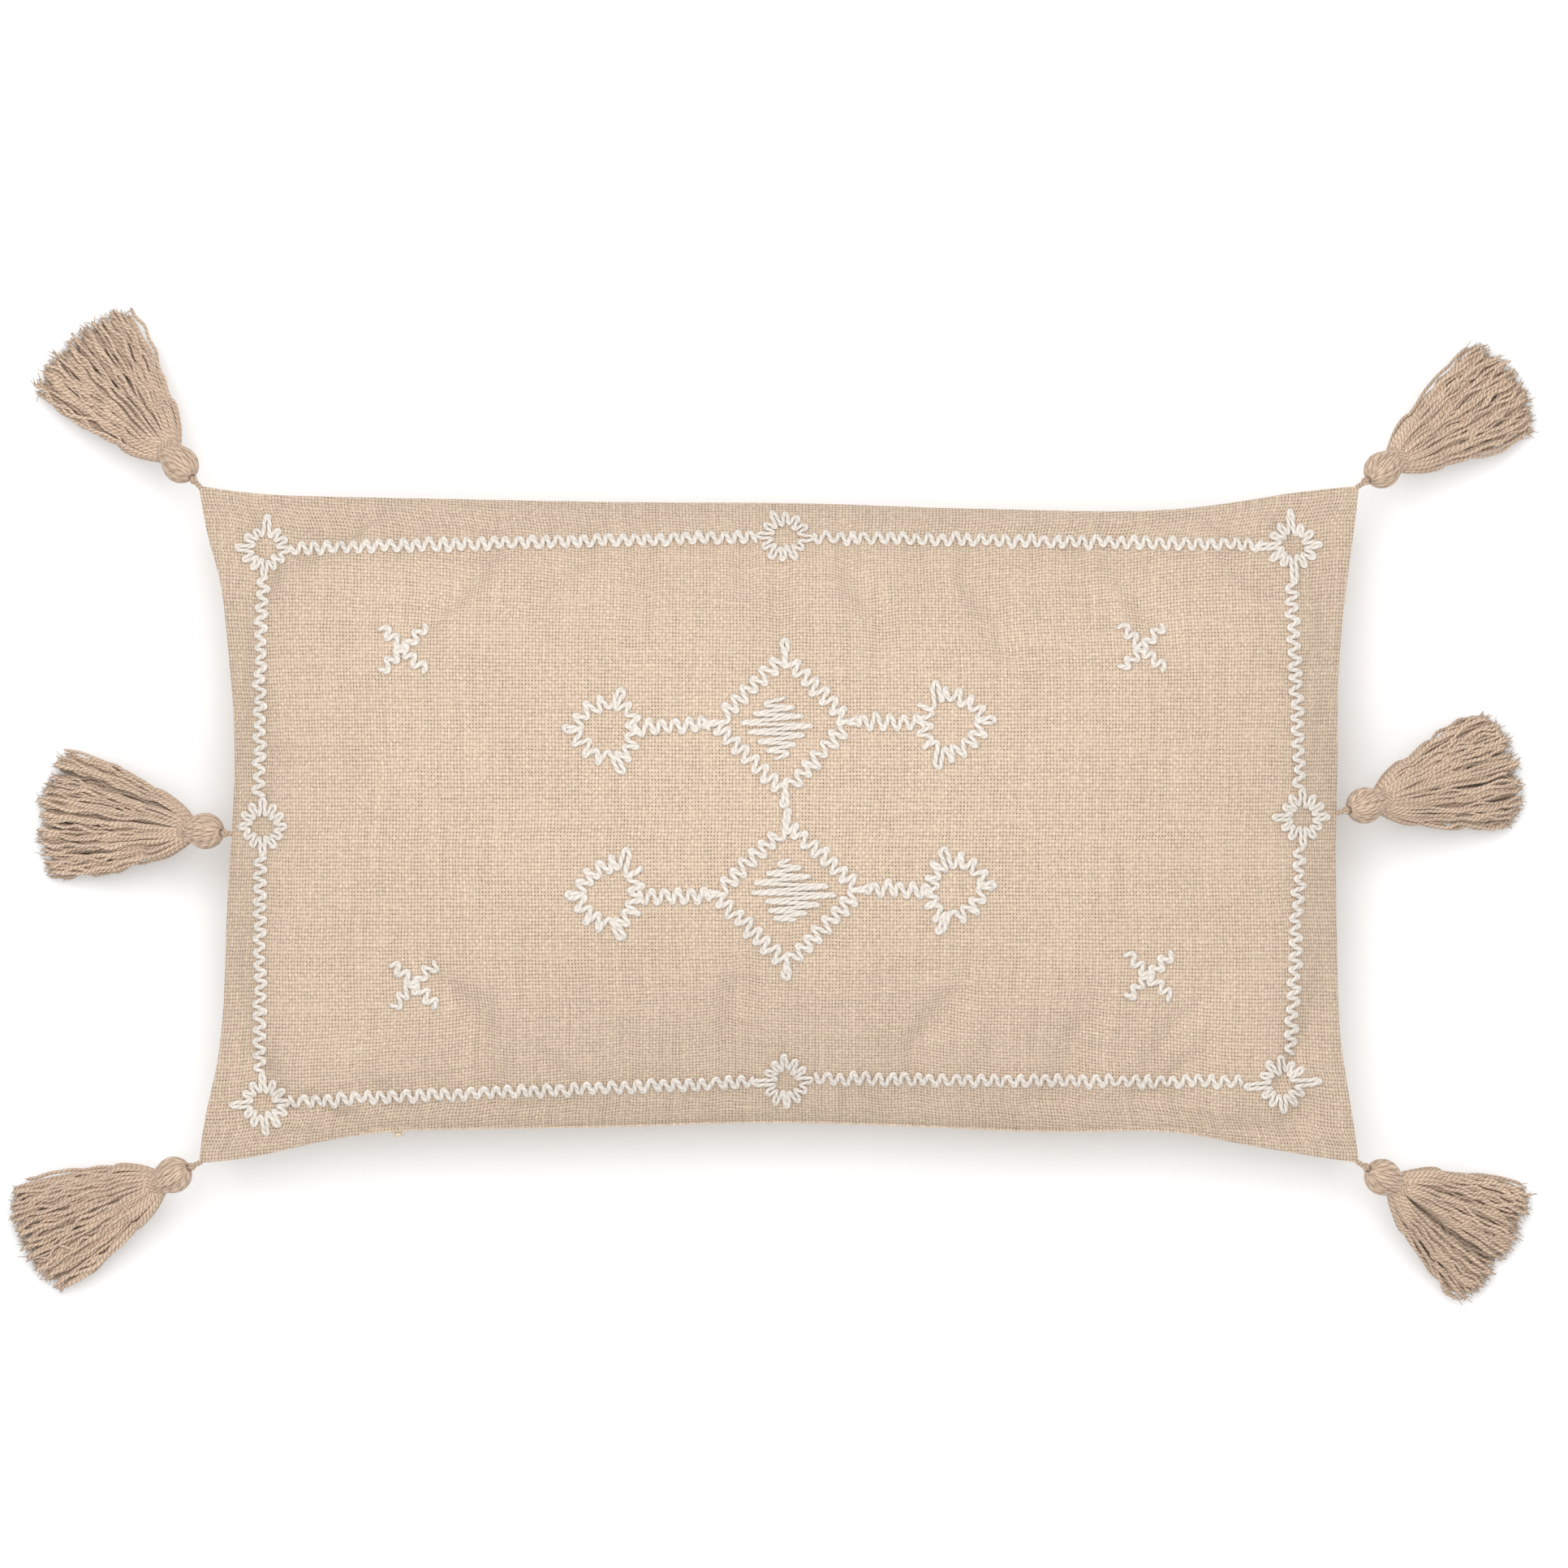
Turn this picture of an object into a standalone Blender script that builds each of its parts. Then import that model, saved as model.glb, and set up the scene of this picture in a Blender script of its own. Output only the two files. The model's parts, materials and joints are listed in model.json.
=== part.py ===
"""A rectangular throw pillow: embroidered cover, stuffed insert, concealed zip and six tassels.

Metres, +Z up. The pillow lies on its back. The origin is the middle of its flat underside,
+X runs along the long sides and +Y across them, so the embroidered front faces +Z.
"""

import math
from collections import namedtuple

import bmesh
import bpy
from mathutils import Vector
from mathutils.bvhtree import BVHTree

NAME = "throw_pillow"

# ---- The cushion's outline and crown ----------------------------------------------------
HALF_LENGTH = 0.2450  # centre to a corner tip, along X
HALF_WIDTH = 0.1430  # centre to a corner tip, along Y
SEAM_HEIGHT = 0.0500  # the seam's height above the surface it lies on
CORNER_DROOP = 0.0060  # how far the corner tips hang below the rest of the seam
DROOP_POWER = 8
FRONT_CROWN = 0.0620  # top of the front above the seam
BACK_CROWN = 0.0600  # what the back would bulge if nothing flattened it
CROWN_POWER = 0.87
SIDE_PULL = {"left": 0.0145, "right": 0.0090, "top": 0.0085, "bottom": 0.0170}
PULL_POWER = 4  # how suddenly the sides run out to the corner tips

# ---- Fabric layers, from the outside in ---------------------------------------------------
SEAM_GAP = 0.0006
COVER_THICKNESS = 0.0010
CASING_THICKNESS = 0.0005
CASING_EDGE_INSET = 0.0125  # cover seam to casing seam, which leaves room for the zip
CASING_CORNER_INSET = 0.0220  # the casing's corners are rounder than the cover's
CASING_CLEARANCE = 0.0040  # cover's outside to casing's outside, at the crown
FILL_EDGE_CLEARANCE = 0.0040
FILL_CORNER_CLEARANCE = 0.0120
FILL_CLEARANCE = 0.0025
CORNER_INSET_POWER = 6
MERGE_DISTANCE = 0.000001
COVER_CELLS = (20, 14)
CASING_CELLS = (12, 8)

# ---- Concealed zip in the lower long seam ----------------------------------------------------
ZIP_HALF_LENGTH = 0.1650
ZIP_DEPTH = 0.00425  # seam to the middle of the chain
ZIP_SLOT = 0.0010  # how far the seam's two lips stand apart along the zip
ZIP_SLOT_RUN_IN = 0.0200
ZIP_SLOT_FADE = 0.0300
SLOT_POWER = 12
COIL_RADIUS = 0.00075
COIL_OFFSET = 0.0013  # chain's middle to each coil's axis
ROD_SIDES = 12
TAPE_THICKNESS = 0.0005
TAPE_START = 0.0026  # chain's middle to the tape's near edge
TAPE_LEAN = 0.0052  # how far the tape leans in with the panel over its width
TAPE_PANEL_GAP = 0.0028  # panel's outside to the tape's far edge
TAPE_CELLS = 8
STOP_SIZE = (0.0020, 0.0022, 0.0050)
CLEARANCE = 0.0003
SLIDER_LENGTH = 0.0080
SLIDER_HALF_HEIGHT = 0.0023
SLIDER_PLATE = 0.0007
SLIDER_PLATE_OFFSET = 0.0014  # chain's middle to the middle of each plate
SLIDER_WEB_LENGTH = 0.0050
SLIDER_WEB = 0.0005
BAIL_RADIUS = 0.0004
BAIL_WINDOW = (0.0030, 0.0016)
KNUCKLE_RADIUS = 0.00105
KNUCKLE_LENGTH = 0.0022
KNUCKLE_BORE = 0.00065
KNUCKLE_CLEARANCE = 0.0006  # knuckle to the seam's outside at the closed end
PULL_WIDTH = 0.0045
PULL_LENGTH = 0.0150
PULL_THICKNESS = 0.0009

# ---- Embroidery ---------------------------------------------------------------------------
YARN_HEIGHT = 0.0010
YARN_GAP = 0.0008
BAND_WIDTH = 0.0056
BAND_STEP = 0.0095
PIECE_GAP = 0.0012
ABOVE_ALL = 1.0  # a height that is clear of the pillow
ROSETTE_SIDES = 12
ROSETTE_RADIUS = 0.0108
ROSETTE_HOLE = 0.0045
# Distance of each flower ring's centre in from the corner tips' lines, in X and in Y.
CORNER_ROSETTES = {
    "top_left": (-1, 1, 0.0285, 0.0270),
    "top_right": (1, 1, 0.0285, 0.0250),
    "bottom_left": (-1, -1, 0.0280, 0.0250),
    "bottom_right": (1, -1, 0.0330, 0.0330),
}
MIDDLE_INSETS = {"top": 0.0220, "bottom": 0.0355, "left": 0.0285, "right": 0.0240}
# How far each middle ring sits along its side from the pillow's middle.
MIDDLE_SHIFTS = {"top": 0.0020, "bottom": 0.0030, "left": -0.0010, "right": 0.0030}
BORDER_ENDS = {
    "top": ("top_left", "top_right"),
    "bottom": ("bottom_left", "bottom_right"),
    "left": ("top_left", "bottom_left"),
    "right": ("top_right", "bottom_right"),
}
# Centre, half-width and half-height of each diamond, and centre and half-sizes of its filling.
DIAMONDS = {
    "upper": ((0.0017, 0.0420), (0.0300, 0.0335), (-0.0005, 0.0395), (0.0150, 0.0130)),
    "lower": ((0.0030, -0.0290), (0.0315, 0.0340), (0.0055, -0.0275), (0.0160, 0.0125)),
}
DIAMOND_BAND = 0.25  # the outline's share of the diamond's half-sizes
DIAMOND_CUTS = (4, 4, 4, 4)
SATIN_ROUNDNESS = 1.5
SATIN_CORE = 0.5
ARROW_REACH = 0.0900  # pillow's middle to each arrowhead's tip
ARROW_MIDDLES = {
    "upper_left": 0.0390,
    "upper_right": 0.0425,
    "lower_left": -0.0295,
    "lower_right": -0.0270,
}
ARROW_LENGTH = 0.0245
ARROW_NOTCH = 0.0050
ARROW_HALF_WIDTH = 0.0180
ARROW_HEART = 0.62  # where the arrowhead's open middle lies, as a share of its length
ARROW_BAND = 0.46
ARROW_CUTS = (3, 2, 1, 2, 3)
CROSSES = {
    "upper_left": (-0.1575, 0.0730),
    "upper_right": (0.1525, 0.0740),
    "lower_left": (-0.1530, -0.0670),
    "lower_right": (0.1550, -0.0630),
}
CROSS_ARM = 0.0150
CROSS_BAND = 0.0040

# ---- Tassels --------------------------------------------------------------------------------
PIVOT_GAP = 0.0010  # corner tip or side to the axis that the tassel swivels about
HANG_LENGTH = 0.0024  # swivel axis to the knot's centre, which the tassel swings about
KNOT_RADIUS = 0.0016
CORD_RADIUS = 0.0009
HEAD_TOP = 0.0020  # knot's centre to the head's top
HEAD_LENGTH = 0.0155
HEAD_RADIUS = 0.0077
HEAD_END_RADIUS = 0.0044
NECK_RADIUS = 0.0047
BINDING_LENGTH = 0.0036
BINDING_THICKNESS = 0.0013
TURNED_STEPS = 12
BALL_STEPS = 6
SKIRT_END_THICKNESS = 0.0090
SKIRT_SECTIONS = 6
SKIRT_SIDES = 12
SKIRT_FLARE = 0.85
FLOOR_CLEARANCE = 0.0004
# Corner or side, direction it lies in (degrees from +X), length from the knot, skirt's end width.
Tassel = namedtuple("Tassel", "place direction length width")
TASSELS = {
    "top_left": Tassel((-1, 1), 131.5, 0.0860, 0.058),
    "top_right": Tassel((1, 1), 34.5, 0.0850, 0.048),
    "middle_left": Tassel((-1, 0), 174.0, 0.0880, 0.060),
    "middle_right": Tassel((1, 0), 15.0, 0.0850, 0.054),
    "bottom_left": Tassel((-1, -1), 205.0, 0.0860, 0.056),
    "bottom_right": Tassel((1, -1), -31.0, 0.0780, 0.062),
}
SIDE_TASSEL_SHIFT = {"middle_left": -0.0040, "middle_right": 0.0050}

# ---- Colours: linear RGB, roughness, metallic -------------------------------------------------
COTTON = ((0.70, 0.56, 0.43), 0.92, 0.0)
LINING = ((0.88, 0.87, 0.84), 0.85, 0.0)
FIBRE = ((0.93, 0.93, 0.92), 0.95, 0.0)
WHITE_YARN = ((0.86, 0.82, 0.75), 0.80, 0.0)
TASSEL_YARN = ((0.60, 0.46, 0.33), 0.88, 0.0)
TAPE = ((0.66, 0.54, 0.42), 0.85, 0.0)
NYLON = ((0.62, 0.50, 0.38), 0.45, 0.0)
ENAMEL = ((0.58, 0.47, 0.36), 0.35, 0.6)

Layer = namedtuple("Layer", "edge_inset corner_inset clearance thickness slot")
COVER = Layer(0.0, 0.0, 0.0, COVER_THICKNESS, ZIP_SLOT)
CASING = Layer(CASING_EDGE_INSET, CASING_CORNER_INSET, CASING_CLEARANCE, CASING_THICKNESS, 0.0)
FILL = Layer(
    CASING_EDGE_INSET + FILL_EDGE_CLEARANCE,
    CASING_CORNER_INSET + FILL_CORNER_CLEARANCE,
    CASING_CLEARANCE + FILL_CLEARANCE,
    None,
    0.0,
)


# ---- Scene, materials and objects ---------------------------------------------------------------
def clear_scene():
    for obj in list(bpy.data.objects):
        bpy.data.objects.remove(obj)


def new_collection(name, render=True):
    collection = bpy.data.collections.new(name)
    collection.hide_render = not render
    bpy.context.scene.collection.children.link(collection)
    return collection


def material(name, look):
    colour, roughness, metallic = look
    result = bpy.data.materials.new(name)
    result.use_nodes = True
    shader = result.node_tree.nodes["Principled BSDF"]
    shader.inputs["Base Color"].default_value = (*colour, 1.0)
    shader.inputs["Roughness"].default_value = roughness
    shader.inputs["Metallic"].default_value = metallic
    return result


def add_object(name, bm, look, parent=None):
    """The finished bmesh as a named object with its own material, in the part's collection."""
    mesh = bpy.data.meshes.new(name)
    bm.to_mesh(mesh)
    bm.free()
    mesh.materials.append(material(name, look))
    obj = bpy.data.objects.new(name, mesh)
    obj.parent = parent
    PARTS.objects.link(obj)
    return obj


def add_empty(name, location, rotation=(0.0, 0.0, 0.0)):
    empty = bpy.data.objects.new(name, None)
    empty.location = location
    empty.rotation_euler = rotation
    empty.empty_display_size = 0.01
    PARTS.objects.link(empty)
    return empty


def solidify(obj, thickness, offset):
    modifier = obj.modifiers.new("thickness", "SOLIDIFY")
    modifier.thickness = thickness
    modifier.offset = offset


def boolean(obj, other, operation):
    modifier = obj.modifiers.new(operation.lower(), "BOOLEAN")
    modifier.operation = operation
    modifier.solver = "EXACT"
    modifier.object = other


def box_mesh(size, centre=(0.0, 0.0, 0.0)):
    bm = bmesh.new()
    bmesh.ops.create_cube(bm, size=1.0)
    bmesh.ops.scale(bm, vec=size, verts=bm.verts)
    bmesh.ops.translate(bm, vec=centre, verts=bm.verts)
    return bm


def rod_mesh(radius, length, centre):
    """A round rod along X."""
    bm = bmesh.new()
    bmesh.ops.create_cone(
        bm, cap_ends=True, segments=ROD_SIDES, radius1=radius, radius2=radius, depth=length
    )
    for vertex in bm.verts:
        vertex.co = Vector((vertex.co.z, vertex.co.x, vertex.co.y)) + Vector(centre)
    return bm


def tool_object(name, bm, parent):
    """A helper for a Boolean, which isn't part of the pillow."""
    mesh = bpy.data.meshes.new(name)
    bm.to_mesh(mesh)
    bm.free()
    obj = bpy.data.objects.new(name, mesh)
    obj.parent = parent
    obj.hide_render = True
    obj.display_type = "WIRE"
    CUTTERS.objects.link(obj)
    return obj


# ---- The cushion's surfaces -----------------------------------------------------------------------
def side_reach(v, side, layer):
    """Half-length of the outline at a share v of the way from the middle to a long side."""
    pulled = HALF_LENGTH - SIDE_PULL[side] * (1 - abs(v) ** PULL_POWER)
    return pulled - layer.edge_inset - layer.corner_inset * abs(v) ** CORNER_INSET_POWER


def end_reach(u, end, layer):
    """Half-width of the outline at a share u of the way from the middle to a short side."""
    pulled = HALF_WIDTH - SIDE_PULL[end] * (1 - abs(u) ** PULL_POWER)
    return pulled - layer.edge_inset - layer.corner_inset * abs(u) ** CORNER_INSET_POWER


def seam_height(x, y):
    corner_share = abs(x / HALF_LENGTH) * abs(y / HALF_WIDTH)
    return SEAM_HEIGHT - CORNER_DROOP * corner_share**DROOP_POWER


def edge_lift(x, v, layer):
    """Seam plane to a layer's outside along its edge: the fabric, the gap and the zip's slot."""
    if layer.thickness is None:
        return 0.0
    past_zip = (abs(x) - ZIP_HALF_LENGTH - ZIP_SLOT_RUN_IN) / ZIP_SLOT_FADE
    window = 1 - min(max(past_zip, 0.0), 1.0)
    at_lower_seam = ((1 - v) / 2) ** SLOT_POWER
    return layer.thickness + SEAM_GAP / 2 + layer.slot / 2 * window * at_lower_seam


def surface_point(u, v, side, layer):
    """The point of the front (side 1) or back (side -1) at shares u and v of the outline."""
    x = u * side_reach(v, "right" if u > 0 else "left", layer)
    y = v * end_reach(u, "top" if v > 0 else "bottom", layer)
    bulge = ((1 - u * u) * (1 - v * v)) ** CROWN_POWER
    lift = edge_lift(x, v, layer)
    if side > 0:
        crown = FRONT_CROWN - layer.clearance - lift
        return Vector((x, y, seam_height(x, y) + lift + crown * bulge))
    crown = BACK_CROWN - layer.clearance - lift
    return Vector((x, y, max(layer.clearance, seam_height(x, y) - lift - crown * bulge)))


def add_side(bm, side, layer, cells):
    """A grid shaped into the front or back, with smaller cells towards its edges."""
    grid = bmesh.ops.create_grid(bm, x_segments=cells[0], y_segments=cells[1], size=1.0)
    for vertex in grid["verts"]:
        u = math.sin(math.pi / 2 * vertex.co.x)
        v = math.sin(math.pi / 2 * vertex.co.y)
        vertex.co = surface_point(u, v, side, layer)
    if side < 0:
        faces = {face for vertex in grid["verts"] for face in vertex.link_faces}
        bmesh.ops.reverse_faces(bm, faces=list(faces))


def make_shell(name, side, layer, cells, look):
    bm = bmesh.new()
    add_side(bm, side, layer, cells)
    shell = add_object(name, bm, look)
    solidify(shell, layer.thickness, -1)
    return shell


def make_fill():
    bm = bmesh.new()
    for side in (1, -1):
        add_side(bm, side, FILL, CASING_CELLS)
    bmesh.ops.remove_doubles(bm, verts=bm.verts, dist=MERGE_DISTANCE)
    add_object("fibre_fill", bm, FIBRE)


# ---- The zip ------------------------------------------------------------------------------------------
def lower_edge(x):
    """The lower seam's y at a place along it."""
    return -end_reach(x / HALF_LENGTH, "bottom", COVER)


ZIP_Y = lower_edge(0.0) + ZIP_DEPTH
ZIP_REST_X = -(ZIP_HALF_LENGTH - SLIDER_LENGTH / 2 - CLEARANCE)
BAIL_Y = lower_edge(ZIP_REST_X) - KNUCKLE_CLEARANCE - KNUCKLE_RADIUS


def make_tape(name, side):
    """Straight along the chain, and parallel to the panel's inside along its far edge."""
    bm = bmesh.new()
    bmesh.ops.create_grid(bm, x_segments=TAPE_CELLS, y_segments=1, size=1.0)
    for vertex in bm.verts:
        x = vertex.co.x * ZIP_HALF_LENGTH
        if vertex.co.y < 0:
            vertex.co = (x, ZIP_Y, SEAM_HEIGHT + side * TAPE_START)
            continue
        edge = lower_edge(x)
        y = edge + ZIP_DEPTH + TAPE_LEAN
        panel = surface_point(x / HALF_LENGTH, -y / edge, side, COVER)
        vertex.co = (x, y, panel.z - side * TAPE_PANEL_GAP)
    solidify(add_object(name, bm, TAPE), TAPE_THICKNESS, 0)


def make_zip():
    for name, side in (("front", 1), ("back", -1)):
        make_tape(f"zip_tape_{name}", side)
        centre = (0.0, ZIP_Y, SEAM_HEIGHT + side * COIL_OFFSET)
        coil = rod_mesh(COIL_RADIUS, 2 * ZIP_HALF_LENGTH, centre)
        add_object(f"zip_coil_{name}", coil, NYLON)
    for name, side in (("left", -1), ("right", 1)):
        x = side * (ZIP_HALF_LENGTH + CLEARANCE + STOP_SIZE[0] / 2)
        add_object(f"zip_stop_{name}", box_mesh(STOP_SIZE, (x, ZIP_Y, SEAM_HEIGHT)), ENAMEL)
    make_slider()
    make_pull()


def make_slider():
    """Two plates round the chain, and a web out through the slot to the bail for the pull."""
    origin = add_empty("zip_slide_axis", (ZIP_REST_X, ZIP_Y, SEAM_HEIGHT))
    plate_size = (SLIDER_LENGTH, SLIDER_PLATE, 2 * SLIDER_HALF_HEIGHT)
    inner = box_mesh(plate_size, (0.0, SLIDER_PLATE_OFFSET, 0.0))
    slider = add_object("zip_slider", inner, ENAMEL, origin)
    outer = box_mesh(plate_size, (0.0, -SLIDER_PLATE_OFFSET, 0.0))
    bail_y = BAIL_Y - ZIP_Y
    web_middle = (bail_y + SLIDER_PLATE_OFFSET) / 2
    web = box_mesh(
        (SLIDER_WEB_LENGTH, SLIDER_PLATE_OFFSET - bail_y, SLIDER_WEB), (0.0, web_middle, 0.0)
    )
    window = box_mesh(
        (BAIL_WINDOW[0], 2 * BAIL_WINDOW[1], 4 * SLIDER_WEB), (0.0, bail_y, 0.0)
    )
    bail = rod_mesh(BAIL_RADIUS, SLIDER_WEB_LENGTH, (0.0, bail_y, 0.0))
    boolean(slider, tool_object("slider_web", web, origin), "UNION")
    boolean(slider, tool_object("slider_outer_plate", outer, origin), "UNION")
    boolean(slider, tool_object("slider_window", window, origin), "DIFFERENCE")
    boolean(slider, tool_object("slider_bail", bail, origin), "UNION")


def make_pull():
    """A knuckle that turns on the slider's bail, with the tab hanging from it."""
    axis = add_empty("zip_pull_axis", (ZIP_REST_X, BAIL_Y, SEAM_HEIGHT))
    tab_top = (KNUCKLE_RADIUS + KNUCKLE_BORE) / 2
    tab_length = PULL_LENGTH - tab_top
    tab = box_mesh(
        (PULL_WIDTH, PULL_THICKNESS, tab_length), (0.0, 0.0, -tab_top - tab_length / 2)
    )
    pull = add_object("zip_pull", tab, ENAMEL, axis)
    knuckle = rod_mesh(KNUCKLE_RADIUS, KNUCKLE_LENGTH, (0.0, 0.0, 0.0))
    bore = rod_mesh(KNUCKLE_BORE, 2 * KNUCKLE_LENGTH, (0.0, 0.0, 0.0))
    boolean(pull, tool_object("pull_knuckle", knuckle, axis), "UNION")
    boolean(pull, tool_object("pull_bore", bore, axis), "DIFFERENCE")


# ---- Embroidery: flat outlines laid on the front ------------------------------------------------------
def circle(centre, radius, sides=ROSETTE_SIDES):
    """A ring of points whose first side faces +X."""
    turns = [2 * math.pi * (index - 0.5) / sides for index in range(sides)]
    return [Vector(centre) + radius * Vector((math.cos(t), math.sin(t))) for t in turns]


def shrunk(points, centre, share):
    return [Vector(centre) + share * (point - Vector(centre)) for point in points]


def divided(corners, cuts):
    """The closed outline through the corners, with each side cut into so many pieces."""
    result = []
    for corner, following, pieces in zip(corners, corners[1:] + corners[:1], cuts):
        result += [corner.lerp(following, index / pieces) for index in range(pieces)]
    return result


def add_ring(bm, outer, inner):
    """A closed band between two anticlockwise outlines. Returns its outer vertices."""
    rim = [bm.verts.new((*point, 0.0)) for point in outer]
    hole = [bm.verts.new((*point, 0.0)) for point in inner]
    for index in range(len(rim)):
        following = (index + 1) % len(rim)
        bm.faces.new((rim[index], rim[following], hole[following], hole[index]))
    return rim


def add_band(bm, start, end, width, joined_to=None):
    """A straight band of quads. joined_to is the (left, right) pair of vertices it grows from."""
    along = end - start
    steps = max(1, round(along.length / BAND_STEP))
    across = Vector((-along.y, along.x)).normalized() * width / 2
    last = joined_to
    for index in range(1 if joined_to else 0, steps + 1):
        middle = start.lerp(end, index / steps)
        pair = [bm.verts.new((*(middle + side * across), 0.0)) for side in (1, -1)]
        if last:
            bm.faces.new((last[0], last[1], pair[1], pair[0]))
        last = pair


def stitch(name, bm):
    """Lays a flat outline on the cover's front, a small gap above it, and gives it thickness."""
    for vertex in bm.verts:
        above = Vector((vertex.co.x, vertex.co.y, ABOVE_ALL))
        place, normal, _, _ = FRONT_TREE.ray_cast(above, Vector((0.0, 0.0, -1.0)))
        vertex.co = place + Vector((0.0, 0.0, YARN_GAP / normal.z))
    solidify(add_object(name, bm, WHITE_YARN), YARN_HEIGHT, 1)


def rosette_centre(name):
    side_x, side_y, inset_x, inset_y = CORNER_ROSETTES[name]
    return Vector((side_x * (HALF_LENGTH - inset_x), side_y * (HALF_WIDTH - inset_y)))


def middle_centre(name):
    inset = MIDDLE_INSETS[name]
    shift = MIDDLE_SHIFTS[name]
    return {
        "top": Vector((shift, HALF_WIDTH - inset)),
        "bottom": Vector((shift, inset - HALF_WIDTH)),
        "left": Vector((inset - HALF_LENGTH, shift)),
        "right": Vector((HALF_LENGTH - inset, shift)),
    }[name]


def add_rosette(bm, centre):
    return add_ring(bm, circle(centre, ROSETTE_RADIUS), circle(centre, ROSETTE_HOLE))


def make_border(name):
    """One side of the frame: the flower ring at its middle and a yarn line to each corner's."""
    bm = bmesh.new()
    centre = middle_centre(name)
    rim = add_rosette(bm, centre)
    for corner in BORDER_ENDS[name]:
        target = rosette_centre(corner)
        heading = (target - centre).normalized()
        side = round(math.atan2(heading.y, heading.x) / (2 * math.pi / ROSETTE_SIDES))
        joined_to = (rim[(side + 1) % ROSETTE_SIDES], rim[side % ROSETTE_SIDES])
        start = centre + heading * ROSETTE_RADIUS * math.cos(math.pi / ROSETTE_SIDES)
        end = target - heading * (ROSETTE_RADIUS + PIECE_GAP)
        add_band(bm, start, end, BAND_WIDTH, joined_to)
    stitch(f"border_{name}", bm)


def make_diamond(name):
    centre, half_sizes, fill_centre, fill_sizes = DIAMONDS[name]
    bm = bmesh.new()
    turns = [math.pi / 2 * index for index in range(4)]
    tips = [
        Vector(centre) + Vector((half_sizes[0] * math.cos(t), half_sizes[1] * math.sin(t)))
        for t in turns
    ]
    outline = divided(tips, DIAMOND_CUTS)
    add_ring(bm, outline, shrunk(outline, centre, 1 - DIAMOND_BAND))
    stitch(f"diamond_{name}", bm)
    bm = bmesh.new()
    rim = []
    for point in circle((0.0, 0.0), 1.0):
        size = (abs(point.x) ** SATIN_ROUNDNESS + abs(point.y) ** SATIN_ROUNDNESS) ** (
            1 / SATIN_ROUNDNESS
        )
        rim.append(
            Vector(fill_centre)
            + Vector((fill_sizes[0] * point.x, fill_sizes[1] * point.y)) / size
        )
    core = [bm.verts.new((*point, 0.0)) for point in shrunk(rim, fill_centre, SATIN_CORE)]
    edge = [bm.verts.new((*point, 0.0)) for point in rim]
    for index in range(len(rim)):
        following = (index + 1) % len(rim)
        bm.faces.new((edge[index], edge[following], core[following], core[index]))
    bm.faces.new(core)
    stitch(f"satin_{name}", bm)


def make_arrow(name, side, row):
    """An arrowhead that points outwards, with the stem from its notch to the diamond."""
    centre, half_sizes, _, _ = DIAMONDS[row]
    middle = ARROW_MIDDLES[name]
    tip = side * ARROW_REACH
    back = tip - side * ARROW_LENGTH
    notch = back - side * ARROW_NOTCH
    corners = [
        Vector((tip, middle)),
        Vector((back, middle + side * ARROW_HALF_WIDTH)),
        Vector((notch, middle + side * BAND_WIDTH / 2)),
        Vector((notch, middle - side * BAND_WIDTH / 2)),
        Vector((back, middle - side * ARROW_HALF_WIDTH)),
    ]
    outline = divided(corners, ARROW_CUTS)
    heart = (tip - side * ARROW_HEART * ARROW_LENGTH, middle)
    bm = bmesh.new()
    rim = add_ring(bm, outline, shrunk(outline, heart, 1 - ARROW_BAND))
    first = ARROW_CUTS[0] + ARROW_CUTS[1]
    stem_start = Vector((notch, middle))
    stem_end = Vector((centre[0] + side * (half_sizes[0] + PIECE_GAP), centre[1]))
    add_band(bm, stem_start, stem_end, BAND_WIDTH, (rim[first + 1], rim[first]))
    stitch(f"arrow_{name}", bm)


def make_cross(name):
    centre = Vector(CROSSES[name])
    bm = bmesh.new()
    half = CROSS_BAND / math.sqrt(2)
    turns = [math.pi / 2 * index for index in range(4)]
    square = [centre + half * Vector((math.cos(t), math.sin(t))) for t in turns]
    hub = [bm.verts.new((*point, 0.0)) for point in square]
    bm.faces.new(hub)
    for index, turn in enumerate(turns):
        heading = Vector((math.cos(turn + math.pi / 4), math.sin(turn + math.pi / 4)))
        joined_to = (hub[(index + 1) % 4], hub[index])
        start = centre + heading * CROSS_BAND / 2
        add_band(bm, start, centre + heading * CROSS_ARM, CROSS_BAND, joined_to)
    stitch(f"cross_{name}", bm)


def make_embroidery():
    for name in CORNER_ROSETTES:
        bm = bmesh.new()
        add_rosette(bm, rosette_centre(name))
        stitch(f"rosette_{name}", bm)
    for name in BORDER_ENDS:
        make_border(name)
    for row in DIAMONDS:
        make_diamond(row)
        for column, side in (("left", -1), ("right", 1)):
            make_arrow(f"{row}_{column}", side, row)
    for name in CROSSES:
        make_cross(name)


# ---- Tassels --------------------------------------------------------------------------------------------
def turned(name, profile, look, parent, closed=False):
    """A profile of (radius, height) points, top to bottom, turned about Z."""
    bm = bmesh.new()
    points = [bm.verts.new((radius, 0.0, height)) for radius, height in profile]
    for first, second in zip(points, points[1:]):
        bm.edges.new((first, second))
    if closed:
        bm.edges.new((points[-1], points[0]))
    obj = add_object(name, bm, look, parent)
    screw = obj.modifiers.new("turned", "SCREW")
    screw.axis = "Z"
    screw.steps = TURNED_STEPS
    screw.render_steps = TURNED_STEPS
    screw.use_merge_vertices = True
    screw.merge_threshold = MERGE_DISTANCE
    screw.use_smooth_shade = True
    return obj


def arc_profile(radius, height, start, end):
    """Points on an upright oval about the origin, from one angle above its middle to another."""
    shares = [index / BALL_STEPS for index in range(BALL_STEPS + 1)]
    turns = [math.radians(start + (end - start) * share) for share in shares]
    return [(radius * math.cos(t), height * math.sin(t)) for t in turns]


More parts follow.
